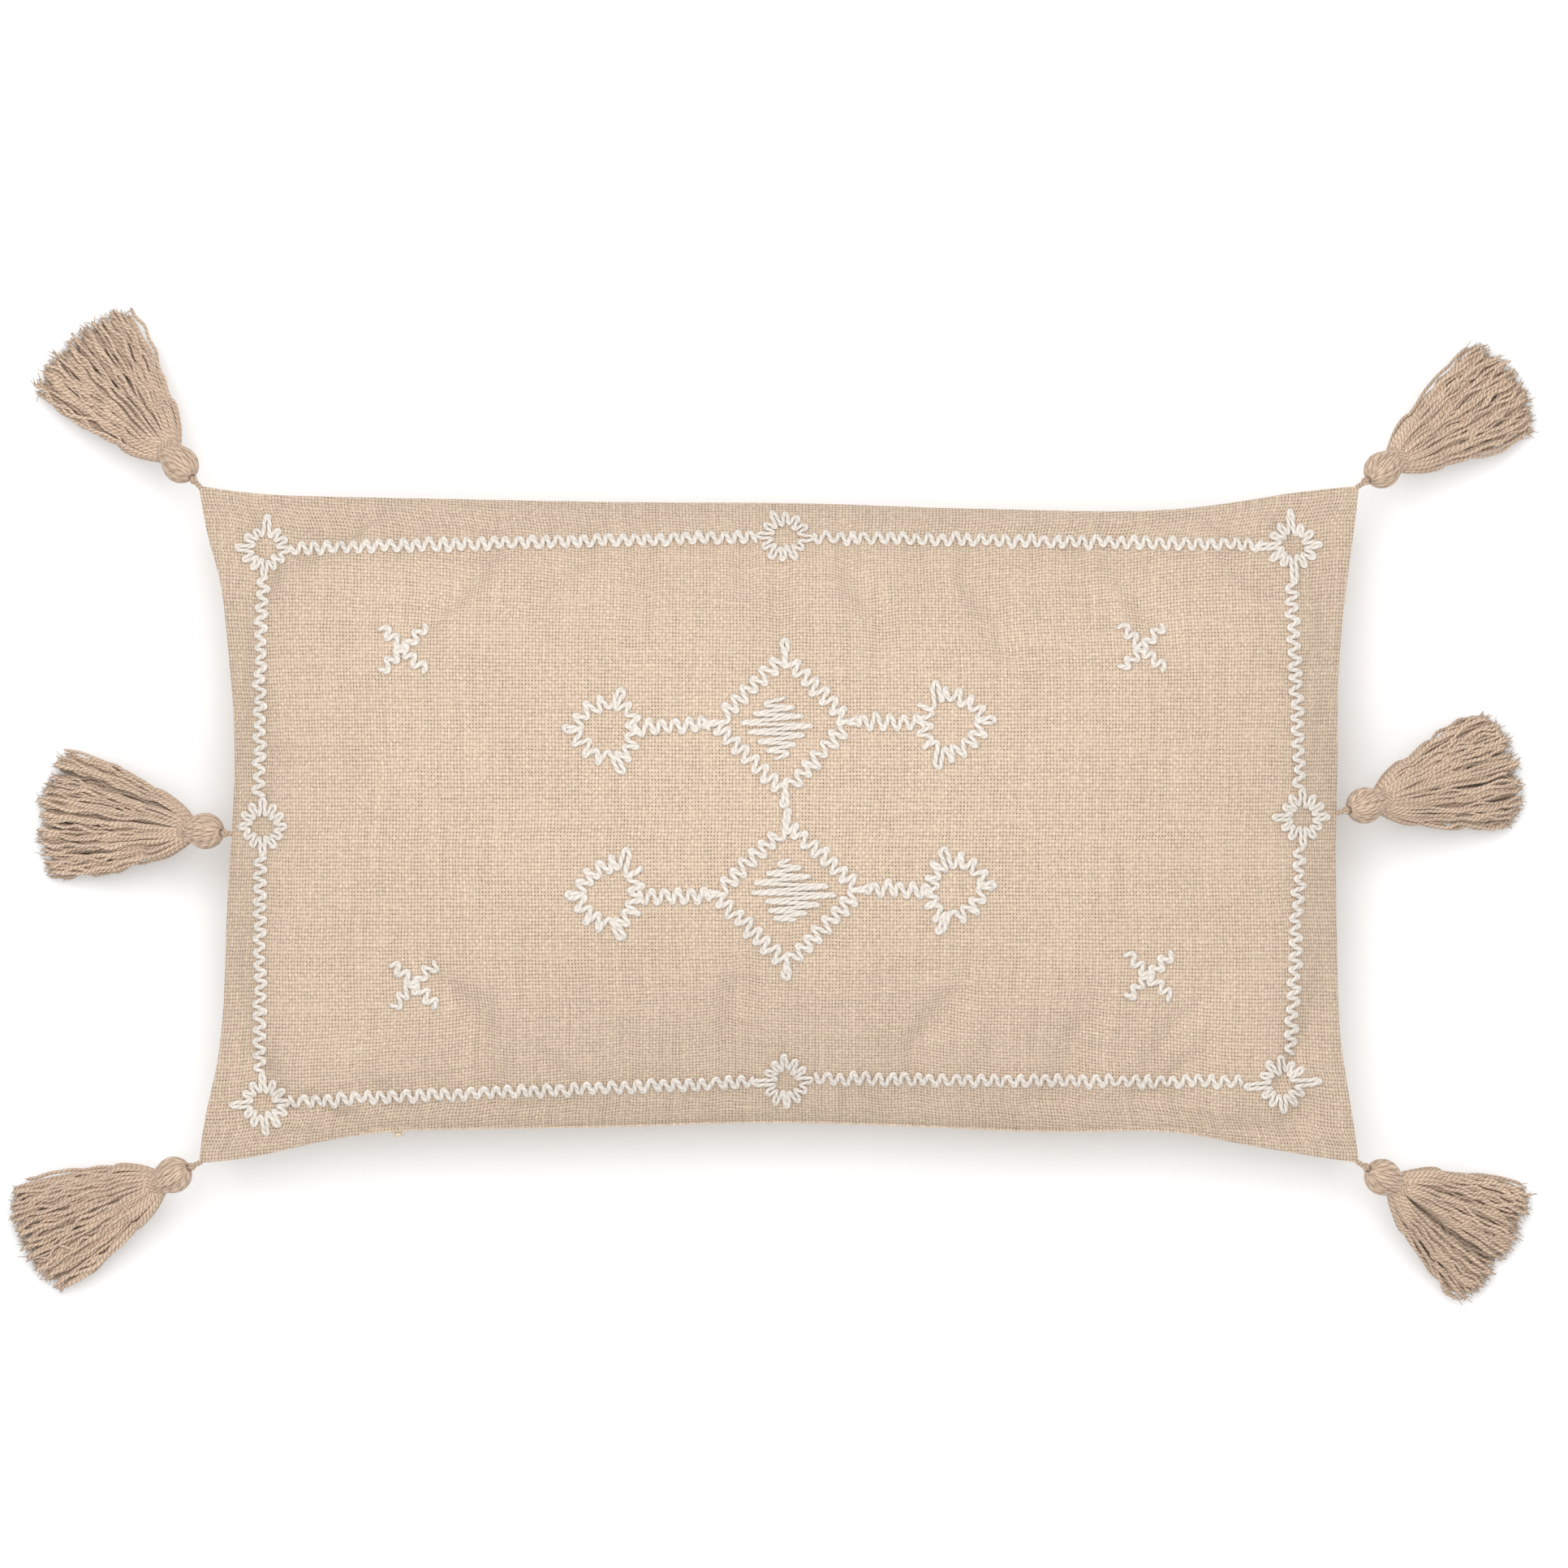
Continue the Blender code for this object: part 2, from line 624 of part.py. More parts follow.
def attach_point(name):
    """Where the tassel's swivel axis stands: just outside its corner tip or side."""
    tassel = TASSELS[name]
    side_x, side_y = tassel.place
    side = "right" if side_x > 0 else "left"
    y = side_y * HALF_WIDTH + SIDE_TASSEL_SHIFT.get(name, 0.0)
    x = side_x * side_reach(y / HALF_WIDTH, side, COVER)
    heading = math.radians(tassel.direction)
    outside = Vector((math.cos(heading), math.sin(heading), 0.0)) * PIVOT_GAP
    return Vector((x, y, seam_height(x, y))) + outside


def lying_slope(name, hinge_height):
    """How steeply the tassel slopes down from its knot for its skirt to lie on the surface."""
    end_height = SKIRT_END_THICKNESS / 2 + FLOOR_CLEARANCE
    return math.asin((hinge_height - end_height) / TASSELS[name].length)


def make_skirt(name, tassel, parent):
    """Round at the neck and a flat fan at the end, lofted through sections along -Z."""
    top = HEAD_TOP + HEAD_LENGTH + CLEARANCE
    flare_start = top + BINDING_LENGTH + CLEARANCE
    rings = [(top, NECK_RADIUS, NECK_RADIUS, 0.0)]
    fan_arc = (tassel.width / 2) ** 2 / (2 * (tassel.length - flare_start))
    for index in range(SKIRT_SECTIONS):
        share = index / (SKIRT_SECTIONS - 1)
        depth = flare_start + (tassel.length - flare_start) * share
        half_width = NECK_RADIUS + (tassel.width / 2 - NECK_RADIUS) * share**SKIRT_FLARE
        half_thickness = NECK_RADIUS + (SKIRT_END_THICKNESS / 2 - NECK_RADIUS) * share
        rings.append((depth, half_width, half_thickness, fan_arc * share))
    bm = bmesh.new()
    sections = []
    for depth, half_width, half_thickness, arc in rings:
        section = []
        for index in range(SKIRT_SIDES):
            turn = 2 * math.pi * index / SKIRT_SIDES
            across = math.sin(turn)
            point = (half_thickness * math.cos(turn), half_width * across, arc * across**2 - depth)
            section.append(bm.verts.new(point))
        sections.append(section)
    for upper, lower in zip(sections, sections[1:]):
        for index in range(SKIRT_SIDES):
            following = (index + 1) % SKIRT_SIDES
            bm.faces.new((upper[index], lower[index], lower[following], upper[following]))
    bm.faces.new(sections[0])
    bm.faces.new(reversed(sections[-1]))
    add_object(f"tassel_skirt_{name}", bm, TASSEL_YARN, parent)


def make_tassel(name):
    tassel = TASSELS[name]
    heading = math.radians(tassel.direction)
    pivot = attach_point(name)
    swivel = add_empty(f"tassel_swivel_{name}", pivot, (0.0, math.radians(-90), heading))
    cord_end = math.sqrt(KNOT_RADIUS**2 - CORD_RADIUS**2)
    cord = [(0.0, -CLEARANCE), (CORD_RADIUS, -CLEARANCE), (CORD_RADIUS, cord_end - HANG_LENGTH)]
    knot_start = math.degrees(math.acos(CORD_RADIUS / KNOT_RADIUS))
    knot = arc_profile(KNOT_RADIUS, KNOT_RADIUS, knot_start, -90)[1:]
    loop = cord + [(radius, height - HANG_LENGTH) for radius, height in knot[:-1]]
    loop.append((0.0, -HANG_LENGTH - KNOT_RADIUS))
    turned(f"tassel_loop_{name}", loop, TASSEL_YARN, swivel)

    hinge = pivot + Vector((math.cos(heading), math.sin(heading), 0.0)) * HANG_LENGTH
    lean = lying_slope(name, hinge.z) - math.pi / 2
    swing = add_empty(f"tassel_swing_{name}", hinge, (0.0, lean, heading))
    middle = -HEAD_TOP - HEAD_LENGTH / 2
    end_angle = -math.degrees(math.acos(HEAD_END_RADIUS / HEAD_RADIUS))
    ball = arc_profile(HEAD_RADIUS, HEAD_LENGTH / 2, 90, end_angle)[1:]
    head = [(0.0, -HEAD_TOP)] + [(radius, middle + height) for radius, height in ball]
    head += [(HEAD_END_RADIUS, -HEAD_TOP - HEAD_LENGTH), (0.0, -HEAD_TOP - HEAD_LENGTH)]
    turned(f"tassel_head_{name}", head, TASSEL_YARN, swing)

    top = -HEAD_TOP - HEAD_LENGTH - CLEARANCE
    inner = NECK_RADIUS + CLEARANCE
    outer = inner + BINDING_THICKNESS
    rim = BINDING_THICKNESS / 2
    binding = [
        (inner, top),
        (outer - rim, top),
        (outer, top - rim),
        (outer, top - BINDING_LENGTH + rim),
        (outer - rim, top - BINDING_LENGTH),
        (inner, top - BINDING_LENGTH),
    ]
    turned(f"tassel_binding_{name}", binding, TASSEL_YARN, swing, closed=True)
    make_skirt(name, tassel, swing)


clear_scene()
PARTS = new_collection(NAME)
CUTTERS = new_collection(f"{NAME}_cutters", render=False)

front_panel = make_shell("front_panel", 1, COVER, COVER_CELLS, COTTON)
make_shell("back_panel", -1, COVER, COVER_CELLS, COTTON)
make_shell("insert_front", 1, CASING, CASING_CELLS, LINING)
make_shell("insert_back", -1, CASING, CASING_CELLS, LINING)
make_fill()
make_zip()
bpy.context.view_layer.update()
FRONT_TREE = BVHTree.FromObject(front_panel, bpy.context.evaluated_depsgraph_get())
make_embroidery()
for tassel_name in TASSELS:
    make_tassel(tassel_name)
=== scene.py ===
"""The looks of the throw pillow: simulated cover, stitched yarn, wound tassels, zip and insert.

Metres, +Z up, in the CAD model's frame. The pillow lies on its back on a pale floor.
"""

import json
import math

import bmesh
import bpy
import numpy as np
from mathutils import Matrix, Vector
from mathutils.bvhtree import BVHTree


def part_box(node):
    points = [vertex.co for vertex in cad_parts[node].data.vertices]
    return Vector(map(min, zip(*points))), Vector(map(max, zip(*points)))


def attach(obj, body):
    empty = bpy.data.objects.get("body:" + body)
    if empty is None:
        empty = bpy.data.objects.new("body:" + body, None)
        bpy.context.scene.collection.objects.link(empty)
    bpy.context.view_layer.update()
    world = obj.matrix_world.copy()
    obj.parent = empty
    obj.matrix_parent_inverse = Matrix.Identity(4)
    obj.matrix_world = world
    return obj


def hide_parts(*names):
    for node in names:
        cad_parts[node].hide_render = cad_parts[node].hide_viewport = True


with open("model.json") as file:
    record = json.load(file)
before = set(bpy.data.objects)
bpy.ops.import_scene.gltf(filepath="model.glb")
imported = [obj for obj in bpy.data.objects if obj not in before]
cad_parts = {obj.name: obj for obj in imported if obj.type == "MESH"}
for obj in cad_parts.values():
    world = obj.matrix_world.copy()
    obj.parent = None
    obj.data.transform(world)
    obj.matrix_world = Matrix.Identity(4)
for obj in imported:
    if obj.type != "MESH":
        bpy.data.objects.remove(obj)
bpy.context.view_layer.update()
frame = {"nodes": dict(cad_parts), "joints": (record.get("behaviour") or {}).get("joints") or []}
JOINTS = {joint["name"]: joint for joint in frame["joints"]}
UP = (0, 0, 1)

# ---- Settings: camera, lights and floor ----
VIEW_CENTRE = (0.0021, 0.0171)  # the point that the camera looks straight down at
VIEW_WIDTH = 0.6617  # how much the frame takes in at the seam's height
CAMERA_HEIGHT = 6.0
SENSOR = 36.0
SKY_COLOUR = (1.0, 0.985, 0.965)
SKY_STRENGTHS = (0.36, 0.97)  # at the horizon, and from the given rise (sine) up
SKY_RISE = 0.8
KEY_PLACE = (-0.14, 0.52, 2.60)
KEY_SIZE = 1.8
KEY_POWER = 39.5
FLOOR_SIZE = 6.0
FLOOR_DROP = 0.0002
FLOOR_COLOUR = (0.960, 0.972, 0.985)

# ---- Settings: cover ----
SIM_CELLS = (84, 50)
FINE_STEPS = 3  # cells of the finished cover to one of the simulated cover
CELL_BIAS = 1.15  # how much smaller the cells get towards the seam
FRONT_CROWN = 0.0610
BACK_CROWN = 0.0590
CROWN_POWER = 0.87
DROOP_POWER = 8
# How far each side lies inside the straight line between its corners: (place along it, inset).
PULL_IN = {
    "top": (
        (-0.225, 0.0028), (-0.192, 0.0046), (-0.135, 0.0057), (-0.060, 0.0070), (0.020, 0.0077),
        (0.060, 0.0091), (0.100, 0.0101), (0.135, 0.0108), (0.165, 0.0101), (0.192, 0.0070),
        (0.210, 0.0041), (0.225, 0.0020),
    ),
    "bottom": (
        (-0.225, 0.0022), (-0.210, 0.0053), (-0.192, 0.0094), (-0.165, 0.0132), (-0.135, 0.0143),
        (-0.100, 0.0148), (-0.060, 0.0156), (-0.020, 0.0170), (0.020, 0.0168), (0.060, 0.0154),
        (0.100, 0.0136), (0.135, 0.0134), (0.165, 0.0132), (0.192, 0.0088), (0.210, 0.0056),
        (0.225, 0.0031),
    ),
    "left": (
        (-0.130, 0.0017), (-0.120, 0.0036), (-0.105, 0.0070), (-0.085, 0.0099), (-0.060, 0.0112),
        (-0.030, 0.0124), (0.000, 0.0142), (0.030, 0.0153), (0.060, 0.0138), (0.085, 0.0115),
        (0.105, 0.0086), (0.120, 0.0044), (0.130, 0.0022),
    ),
    "right": (
        (-0.130, 0.0019), (-0.120, 0.0035), (-0.105, 0.0060), (-0.085, 0.0085), (-0.060, 0.0094),
        (-0.030, 0.0099), (0.000, 0.0098), (0.030, 0.0094), (0.060, 0.0091), (0.085, 0.0073),
        (0.105, 0.0050), (0.120, 0.0029), (0.130, 0.0015),
    ),
}
SIM_FRAMES = 24
CLOTH_SETTINGS = {
    "quality": 6,
    "mass": 0.25,
    "tension_stiffness": 20,
    "compression_stiffness": 20,
    "shear_stiffness": 6,
    "bending_stiffness": 0.4,
    "use_pressure": True,
    "uniform_pressure_force": 4.0,
    "vertex_group_mass": "held",
    "shrink_min": -0.022,  # negative: the cloth is longer than its shape
}
MOST_MOVE = 0.0045  # how far the simulation may move a point
SEAM_FOLD = 0.6  # radians between faces that count as a fold, not as one smooth side
CALM_SHARE = 0.10  # share of the way in from the seam over which the simulated moves fade
SLOT_LIFTS = {1: 0.0014, -1: 0.0006}  # front lip over the seam's plane, and back lip under it
SLOT_RUN_IN = 0.006
SLOT_FADE = 0.012
LIP_ROWS = ((0.0012, 0.0001), (0.0024, 0.0003), (0.0030, 0.0012))  # (inwards, beyond the lip)
LIP_CLOTH = (0, 0.14, 0)  # how far the lips lie from the middle of the cloth
PULL_CLEARANCE = 0.0003
BACK_LIP_ROWS = 0.08  # share of the way in over which the back makes room for the pull

# ---- Settings: yarn ----
STITCH_RADIUS = 0.00118
PETAL_RADIUS = 0.00098
SATIN_RADIUS = 0.00098
STITCH_FLATNESS = 0.78
STITCH_RISE = STITCH_RADIUS * STITCH_FLATNESS * 0.8  # of a yarn's middle over the cover
NORMAL_SPAN = 7  # points over which the cover's normals are evened out
STITCH_STEP = 0.0006
STITCH_SIDES = 8
STITCH_PITCH = 0.0075  # length of one turn of the two plies
STITCH_LOBES = 0.10
RADIUS_SPREAD = 0.05  # from one line of stitches to the next
SWAY = 0.06  # how much a yarn thickens and thins along its length
SWAY_RATE = 0.11  # radians of that a point
TIP_SHARE = 0.35  # of the radius at a yarn's ends
STITCH_BEND_POINTS = 16  # on the path between two turning points
TURN_ROUNDNESS = 0.60
SWING_SPREAD = 0.13  # unevenness of a straight zigzag's swings, as a share of them,
SLIP = 0.10  # and of its turns' places, as a share of their spacing
RING_SWING_SPREAD = 0.10  # the same for the zigzags round closed shapes
RING_SLIP = 0.09
GOLDEN_SHARE = 0.6180339887  # spreads the yarns' own numbers evenly
GOLDEN_ANGLE = 2.399963

# ---- Small helpers ----


def node_box(node):
    low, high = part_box(node)
    return np.array(low), np.array(high)


def node_centre(node):
    low, high = node_box(node)
    return (low + high) / 2


# Read from the CAD model.
HALF_LENGTH, HALF_WIDTH = node_box("front_panel")[1][:2]
SEAM_HEIGHT = node_centre("zip_stop_left")[2]
CORNER_DROOP = SEAM_HEIGHT - node_centre("tassel_loop_top_left")[2]
ZIP_HALF_LENGTH = node_box("zip_coil_front")[1][0]
PULL_INSIDE = node_box("zip_pull")[1][1]


def smooth_step(share):
    return share * share * (3 - 2 * share)


def natural_spline(knots, places):
    """A smooth curve through (place, value) knots, read at the given places."""
    x, y = np.array(knots, float).T
    step = np.diff(x)
    count = len(x)
    system = np.zeros((count, count))
    right = np.zeros(count)
    system[0, 0] = system[-1, -1] = 1
    for k in range(1, count - 1):
        system[k, k - 1 : k + 2] = step[k - 1], 2 * (step[k - 1] + step[k]), step[k]
        right[k] = 6 * ((y[k + 1] - y[k]) / step[k] - (y[k] - y[k - 1]) / step[k - 1])
    bend = np.linalg.solve(system, right)
    places = np.clip(places, x[0], x[-1])
    k = np.clip(np.searchsorted(x, places) - 1, 0, count - 2)
    width = step[k]
    before, after = x[k + 1] - places, places - x[k]
    return (
        (bend[k] * before**3 + bend[k + 1] * after**3) / (6 * width)
        + (y[k] / width - bend[k] * width / 6) * before
        + (y[k + 1] / width - bend[k + 1] * width / 6) * after
    )


def resampled(line, count):
    """The given number of evenly spaced points along a line of points."""
    line = np.array(line, float)
    reach = np.concatenate([[0], np.cumsum(np.linalg.norm(np.diff(line, axis=0), axis=1))])
    wanted = np.linspace(0, reach[-1], count)
    return np.stack([np.interp(wanted, reach, line[:, axis]) for axis in range(line.shape[1])], 1)


def unit(vectors):
    return vectors / np.maximum(np.linalg.norm(vectors, axis=-1, keepdims=True), 1e-12)


def linked(name, data):
    obj = bpy.data.objects.new(name, data)
    bpy.context.scene.collection.objects.link(obj)
    return obj


def mesh_object(name, vertices, faces, layers=()):
    """An object from arrays. layers: vector attributes as (name, domain, values)."""
    mesh = bpy.data.meshes.new(name)
    mesh.from_pydata(np.asarray(vertices).tolist(), [], [tuple(face) for face in faces])
    for title, domain, values in layers:
        layer = mesh.attributes.new(title, "FLOAT_VECTOR", domain)
        layer.data.foreach_set("vector", np.asarray(values, np.float32).ravel())
    mesh.shade_smooth()
    mesh.update()
    return linked(name, mesh)


def finish_piece(obj, look, body, slot, *nodes):
    obj.data.materials.clear()
    obj.data.materials.append(look)
    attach(obj, body)
    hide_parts(*nodes)


# ---- Materials ----


RANGE_SOCKETS = ("Value", "From Min", "From Max", "To Min", "To Max")


class Field:
    """A node's output that arithmetic is written with."""

    def __init__(self, look, socket):
        self.look = look
        self.socket = socket

    def __add__(self, other):
        return self.look.math("ADD", self, other)

    def __sub__(self, other):
        return self.look.math("SUBTRACT", self, other)

    def __mul__(self, other):
        return self.look.math("MULTIPLY", self, other)

    def __truediv__(self, other):
        return self.look.math("DIVIDE", self, other)

    def __pow__(self, other):
        return self.look.math("POWER", self, other)

    def __abs__(self):
        return self.look.math("ABSOLUTE", self)


class Look:
    """A material built from nodes."""

    def __init__(self, name, roughness, **sockets):
        self.material = bpy.data.materials.new(name)
        self.material.use_nodes = True
        self.tree = self.material.node_tree
        self.shader = self.tree.nodes["Principled BSDF"]
        self.shader.inputs["Roughness"].default_value = roughness
        for socket, value in sockets.items():
            self.shader.inputs[socket.replace("_", " ")].default_value = value

    def feed(self, socket, value):
        if isinstance(value, Field):
            self.tree.links.new(value.socket, socket)
        else:
            socket.default_value = value

    def node(self, kind, inputs, output=0, **settings):
        """An output of a new node. inputs: values by the sockets' names or numbers."""
        made = self.tree.nodes.new(f"ShaderNode{kind}")
        for title, value in settings.items():
            setattr(made, title, value)
        for key, value in inputs.items():
            self.feed(made.inputs[key], value)
        return Field(self, made.outputs[output])

    def math(self, operation, *values):
        return self.node("Math", dict(enumerate(values)), operation=operation)

    def fade(self, value, low, high, start=0.0, end=1.0):
        """A smooth step of the value between low and high, from start to end."""
        inputs = dict(zip(RANGE_SOCKETS, (value, low, high, start, end)))
        return self.node("MapRange", inputs, interpolation_type="SMOOTHSTEP")

    def mix(self, share, first, second):
        first, second = ((*c, 1.0) if isinstance(c, tuple) else c for c in (first, second))
        return self.node("Mix", {0: share, 6: first, 7: second}, 2, data_type="RGBA")

    def shaded(self, colour, brightness):
        """The colour times a brightness."""
        return self.node("VectorMath", {0: colour, "Scale": brightness}, operation="SCALE")

    def attribute(self, name):
        return self.node("Attribute", {}, "Vector", attribute_name=name)

    def parts(self, vector):
        made = self.node("SeparateXYZ", {0: vector}).socket.node
        return [Field(self, part) for part in made.outputs]

    def vector(self, x, y, z=0.0):
        return self.node("CombineXYZ", {0: x, 1: y, 2: z})

    def noise(self, vector, scale, detail=2.0):
        return self.node("TexNoise", {"Vector": vector, "Scale": scale, "Detail": detail})

    def place(self):
        return self.node("TexCoord", {}, "Object")

    def done(self, colour, height=None, depth=None):
        self.feed(self.shader.inputs["Base Color"], colour)
        if height is not None:
            bump = self.node("Bump", {"Height": height, "Distance": depth})
            self.feed(self.shader.inputs["Normal"], bump)
        return self.material


MOST_NOISE = (0.25, 0.75)  # most of a noise's values lie between these
CORE_NOISE = (0.28, 0.72)
WEAVE_DRIFT = (55.0, 0.0011, -0.0009)  # noise scale, and how far ends and picks wander
# Scales of the threads' noises: from one thread to the next, and along it.
END_NOISE = (3.71, 26.0)
PICK_NOISE = (4.33, 26.0)
END_TINT = (1.13, 11.0)
PICK_TINT = (1.37, 14.0)
END_SLUBS = (0.52, 0.72)  # tints between which a thread turns to its slub's colour
PICK_SLUBS = (0.54, 0.74)
END_WIDTHS = (1.16, 0.90)  # of thin and thick ends: how steeply their ridges fall
PICK_WIDTHS = (1.14, 0.94)
RIDGE_SHARE = 0.6  # of a thread's height that is its own ridge; the rest is its wave
GAP_POWER = 2.6
GAP_RANGE = (0.09, 0.45)
GAP_SCALE = 330.0
SPECKLE_SCALE = 680.0
FIBRE_SCALE = 2600.0
# Brightness of the painted shade at the cover's seam.
RIM_SHADE = 0.90


def weave_look(name, tones, pitch, gap_shade_depth, slub, bump, rim=None):
    """Plain weave read from the cloth's own coordinates in metres (attribute "weave").

    tones: the colour of the ends, of the picks, of the pink and green slubs, and of the painted
    shade in the gaps.
    rim: the seam's height, and how far above and below it painted shade darkens the cloth.
    """
    warp_tone, weft_tone, pink, green, gap = tones
    look = Look(name, 0.9, Sheen_Weight=0.12, Sheen_Roughness=0.5)
    cloth = look.attribute("weave")
    drift = look.noise(cloth, WEAVE_DRIFT[0])
    places = [
        part + (drift - 0.5) * wander for part, wander in zip(look.parts(cloth), WEAVE_DRIFT[1:])
    ]
    x, y = places
    counts = [place / size for place, size in zip(places, pitch)]
    end, pick = (look.math("FLOOR", count) for count in counts)
    across_end, across_pick = (
        count - whole - 0.5 for count, whole in zip(counts, (end, pick))
    )
    side = look.math("FLOORED_MODULO", end + pick, 2.0) * 2.0 - 1.0  # which thread is on top
    # Each thread's own tone and thickness, changing slowly along it.
    end_noise = look.noise(look.vector(end * END_NOISE[0], y * END_NOISE[1]), 1.0, 3.0)
    pick_noise = look.noise(look.vector(x * PICK_NOISE[1], pick * PICK_NOISE[0], 9.0), 1.0, 3.0)
    end_tint = look.noise(look.vector(end * END_TINT[0], y * END_TINT[1], 4.0), 1.0)
    pick_tint = look.noise(look.vector(x * PICK_TINT[1], pick * PICK_TINT[0], 17.0), 1.0)

    def ridge(offset, thickness):
        edge = look.math("MINIMUM", abs(offset * thickness) * math.pi, math.pi / 2)
        return look.math("COSINE", edge) * RIDGE_SHARE

    def wave(offset):
        return look.math("COSINE", offset * math.pi) * side * (1 - RIDGE_SHARE)

    end_width = look.fade(end_noise, *MOST_NOISE, *END_WIDTHS)
    pick_width = look.fade(pick_noise, *MOST_NOISE, *PICK_WIDTHS)
    end_height = ridge(across_end, end_width) + wave(across_pick)
    pick_height = ridge(across_pick, pick_width) - wave(across_end)
    height = look.math("MAXIMUM", end_height, pick_height)
    # Gaps open where four threads meet, more so between thin ones, and are filled with painted
    # shade.
    corner = (abs(across_end) * 2.0) ** GAP_POWER * (abs(across_pick) * 2.0) ** GAP_POWER
    openness = look.fade(look.noise(cloth, GAP_SCALE, 1.0), 0.30, 0.62, 0.55, 1.25)
    openness = openness * look.fade(end_noise + pick_noise, 0.75, 1.25, 1.25, 0.65)
    painted_gap_shade = look.fade(corner * openness, *GAP_RANGE) * gap_shade_depth

    warp = look.shaded(
        look.mix(look.fade(end_tint, *END_SLUBS, 0.0, 0.75 * slub), warp_tone, pink),
        look.fade(end_noise, *CORE_NOISE, 1 - 0.10 * slub, 1 + 0.12 * slub),
    )
    weft = look.shaded(
        look.mix(look.fade(pick_tint, *PICK_SLUBS, 0.0, 0.65 * slub), weft_tone, green),
        look.fade(pick_noise, *CORE_NOISE, 1 - 0.09 * slub, 1 + 0.08 * slub),
    )
    colour = look.mix(look.fade(end_height - pick_height, -0.08, 0.08), weft, warp)
    # Painted shade low between the threads, and a faint painted highlight on their crowns.
    colour = look.shaded(colour, look.fade(height, 0.1, 0.9, 0.86, 1.03))
    # Painted shade: the gaps between the threads take the dark gap colour.
    colour = look.mix(painted_gap_shade, colour, gap)
    speckle = look.noise(look.vector(x * SPECKLE_SCALE, y * SPECKLE_SCALE, 3.0), 1.0)
    colour = look.shaded(colour, look.fade(speckle, *CORE_NOISE, 0.86, 1.13))
    # Painted shade: the cloth is darkened towards the seam, where its sides turn away from the
    # light.
    if rim:
        seam, reach = rim
        away = abs(look.parts(look.place())[2] - seam)
        colour = look.shaded(colour, look.fade(away, 0.0, reach, RIM_SHADE, 1.0))
    return look.done(colour, height + look.noise(cloth, FIBRE_SCALE, 1.0) * 0.12, bump)


def yarn_look(name, colour, painted_ply_shade, patchiness):
    """Two twisted plies, read from the yarn's own coordinates, with painted shade in the grooves
    between them.

    Attribute "yarn": cosine and sine of the way round, and turns along. "strand": its own number.
    """
    look = Look(name, 0.85, Sheen_Weight=0.15, Sheen_Roughness=0.5)
    round_x, round_y, along = look.parts(look.attribute("yarn"))
    own = look.parts(look.attribute("strand"))[0]
    twist = look.math("ARCTAN2", round_y, round_x) - along * (2 * math.pi)
    ply = look.math("COSINE", twist * 2.0)
    fibres = look.noise(look.vector(twist * 3.0, along * 4.5, own * 40.0), 1.0)
    patches = look.noise(look.vector(along * 0.3, own * 50.0), 1.0)
    least, most = 1 - patchiness, 1 + patchiness
    tone = look.fade(patches, *MOST_NOISE, least, most) * look.fade(own, 0.0, 1.0, least, most)
    tone = tone * look.fade(fibres, 0.2, 0.8, 0.92, 1.06)
    # Painted shade: the grooves between the plies take the dark colour.
    shade = look.mix(look.fade(ply, -1.0, -0.35, 0.75, 0.0), look.shaded(colour, tone), painted_ply_shade)
    return look.done(shade, look.fade(ply, -1.0, 0.2) + fibres * 0.25, YARN_BUMP)


FIBRE_SCALES = (1500.0, 180.0)  # across the fibres and along them


def fibre_look():
    """Tangled white fibres, in two crossing directions."""
    look = Look("fibre_tangle", 0.8, Sheen_Weight=0.3, Sheen_Roughness=0.5)
    cloth = look.attribute("weave")
    bend = look.noise(cloth, 60.0) * 60.0
    x, y, z = look.parts(cloth)
    fine, coarse = FIBRE_SCALES
    one_way = look.noise(look.vector(x * fine + bend, y * coarse, z), 1.0, 3.0)
    other_way = look.noise(look.vector(x * coarse, y * fine + bend, z), 1.0, 3.0)
    strands = look.math("MAXIMUM", one_way, other_way)
    tufts = look.noise(cloth, 45.0, 3.0)
    tone = look.fade(strands, 0.35, 0.7, 0.82, 1.0) * look.fade(tufts, 0.3, 0.7, 0.9, 1.0)
    return look.done(look.shaded((0.88, 0.88, 0.87), tone), strands + tufts, TUFT_BUMP)


def solid_look(name, colour, roughness, grain, depth, coat=0.0):
    """Moulded or enamelled parts: faint mottling, patches of wear and fine grain."""
    look = Look(name, roughness, Coat_Weight=coat, Coat_Roughness=0.25)
    place = look.place()
    mottle = look.noise(place, 700.0, 3.0)
    wear = look.noise(place, 180.0)
    tone = look.fade(mottle, *MOST_NOISE, 0.90, 1.06) * look.fade(wear, 0.3, 0.7, 0.93, 1.04)
    dullness = look.fade(wear, 0.3, 0.7, roughness - 0.06, roughness + 0.1)
    look.feed(look.shader.inputs["Roughness"], dullness)
    return look.done(look.shaded(colour, tone), look.noise(place, grain), depth)


YARN_BUMP = 0.00020
TUFT_BUMP = 0.0010
# Tones: the ends, the picks, the pink and the green slubs, and the painted shade in the gaps.
COTTON_TONES = (
    (0.635, 0.505, 0.388), (0.615, 0.485, 0.368), (0.580, 0.425, 0.325), (0.580, 0.475, 0.345),
    (0.190, 0.120, 0.080),
)
CASING_TONES = (
    (0.86, 0.85, 0.82), (0.84, 0.83, 0.80), (0.84, 0.82, 0.79), (0.84, 0.84, 0.80),
    (0.55, 0.54, 0.50),
)
TAPE_TONES = (
    (0.62, 0.50, 0.37), (0.60, 0.48, 0.35), (0.60, 0.47, 0.35), (0.60, 0.49, 0.36),
    (0.40, 0.30, 0.20),
)
# The cover gets painted shade towards its seam.
COTTON = weave_look(
    "cotton_weave", COTTON_TONES, (0.00141, 0.00157), 1.0, 0.5, 0.00030, rim=(0.049, 0.024)
)
CASING = weave_look("casing_weave", CASING_TONES, (0.00045, 0.00045), 0.3, 0.3, 0.00008)
TAPE = weave_look("tape_weave", TAPE_TONES, (0.00055, 0.00040), 0.3, 0.3, 0.00010)


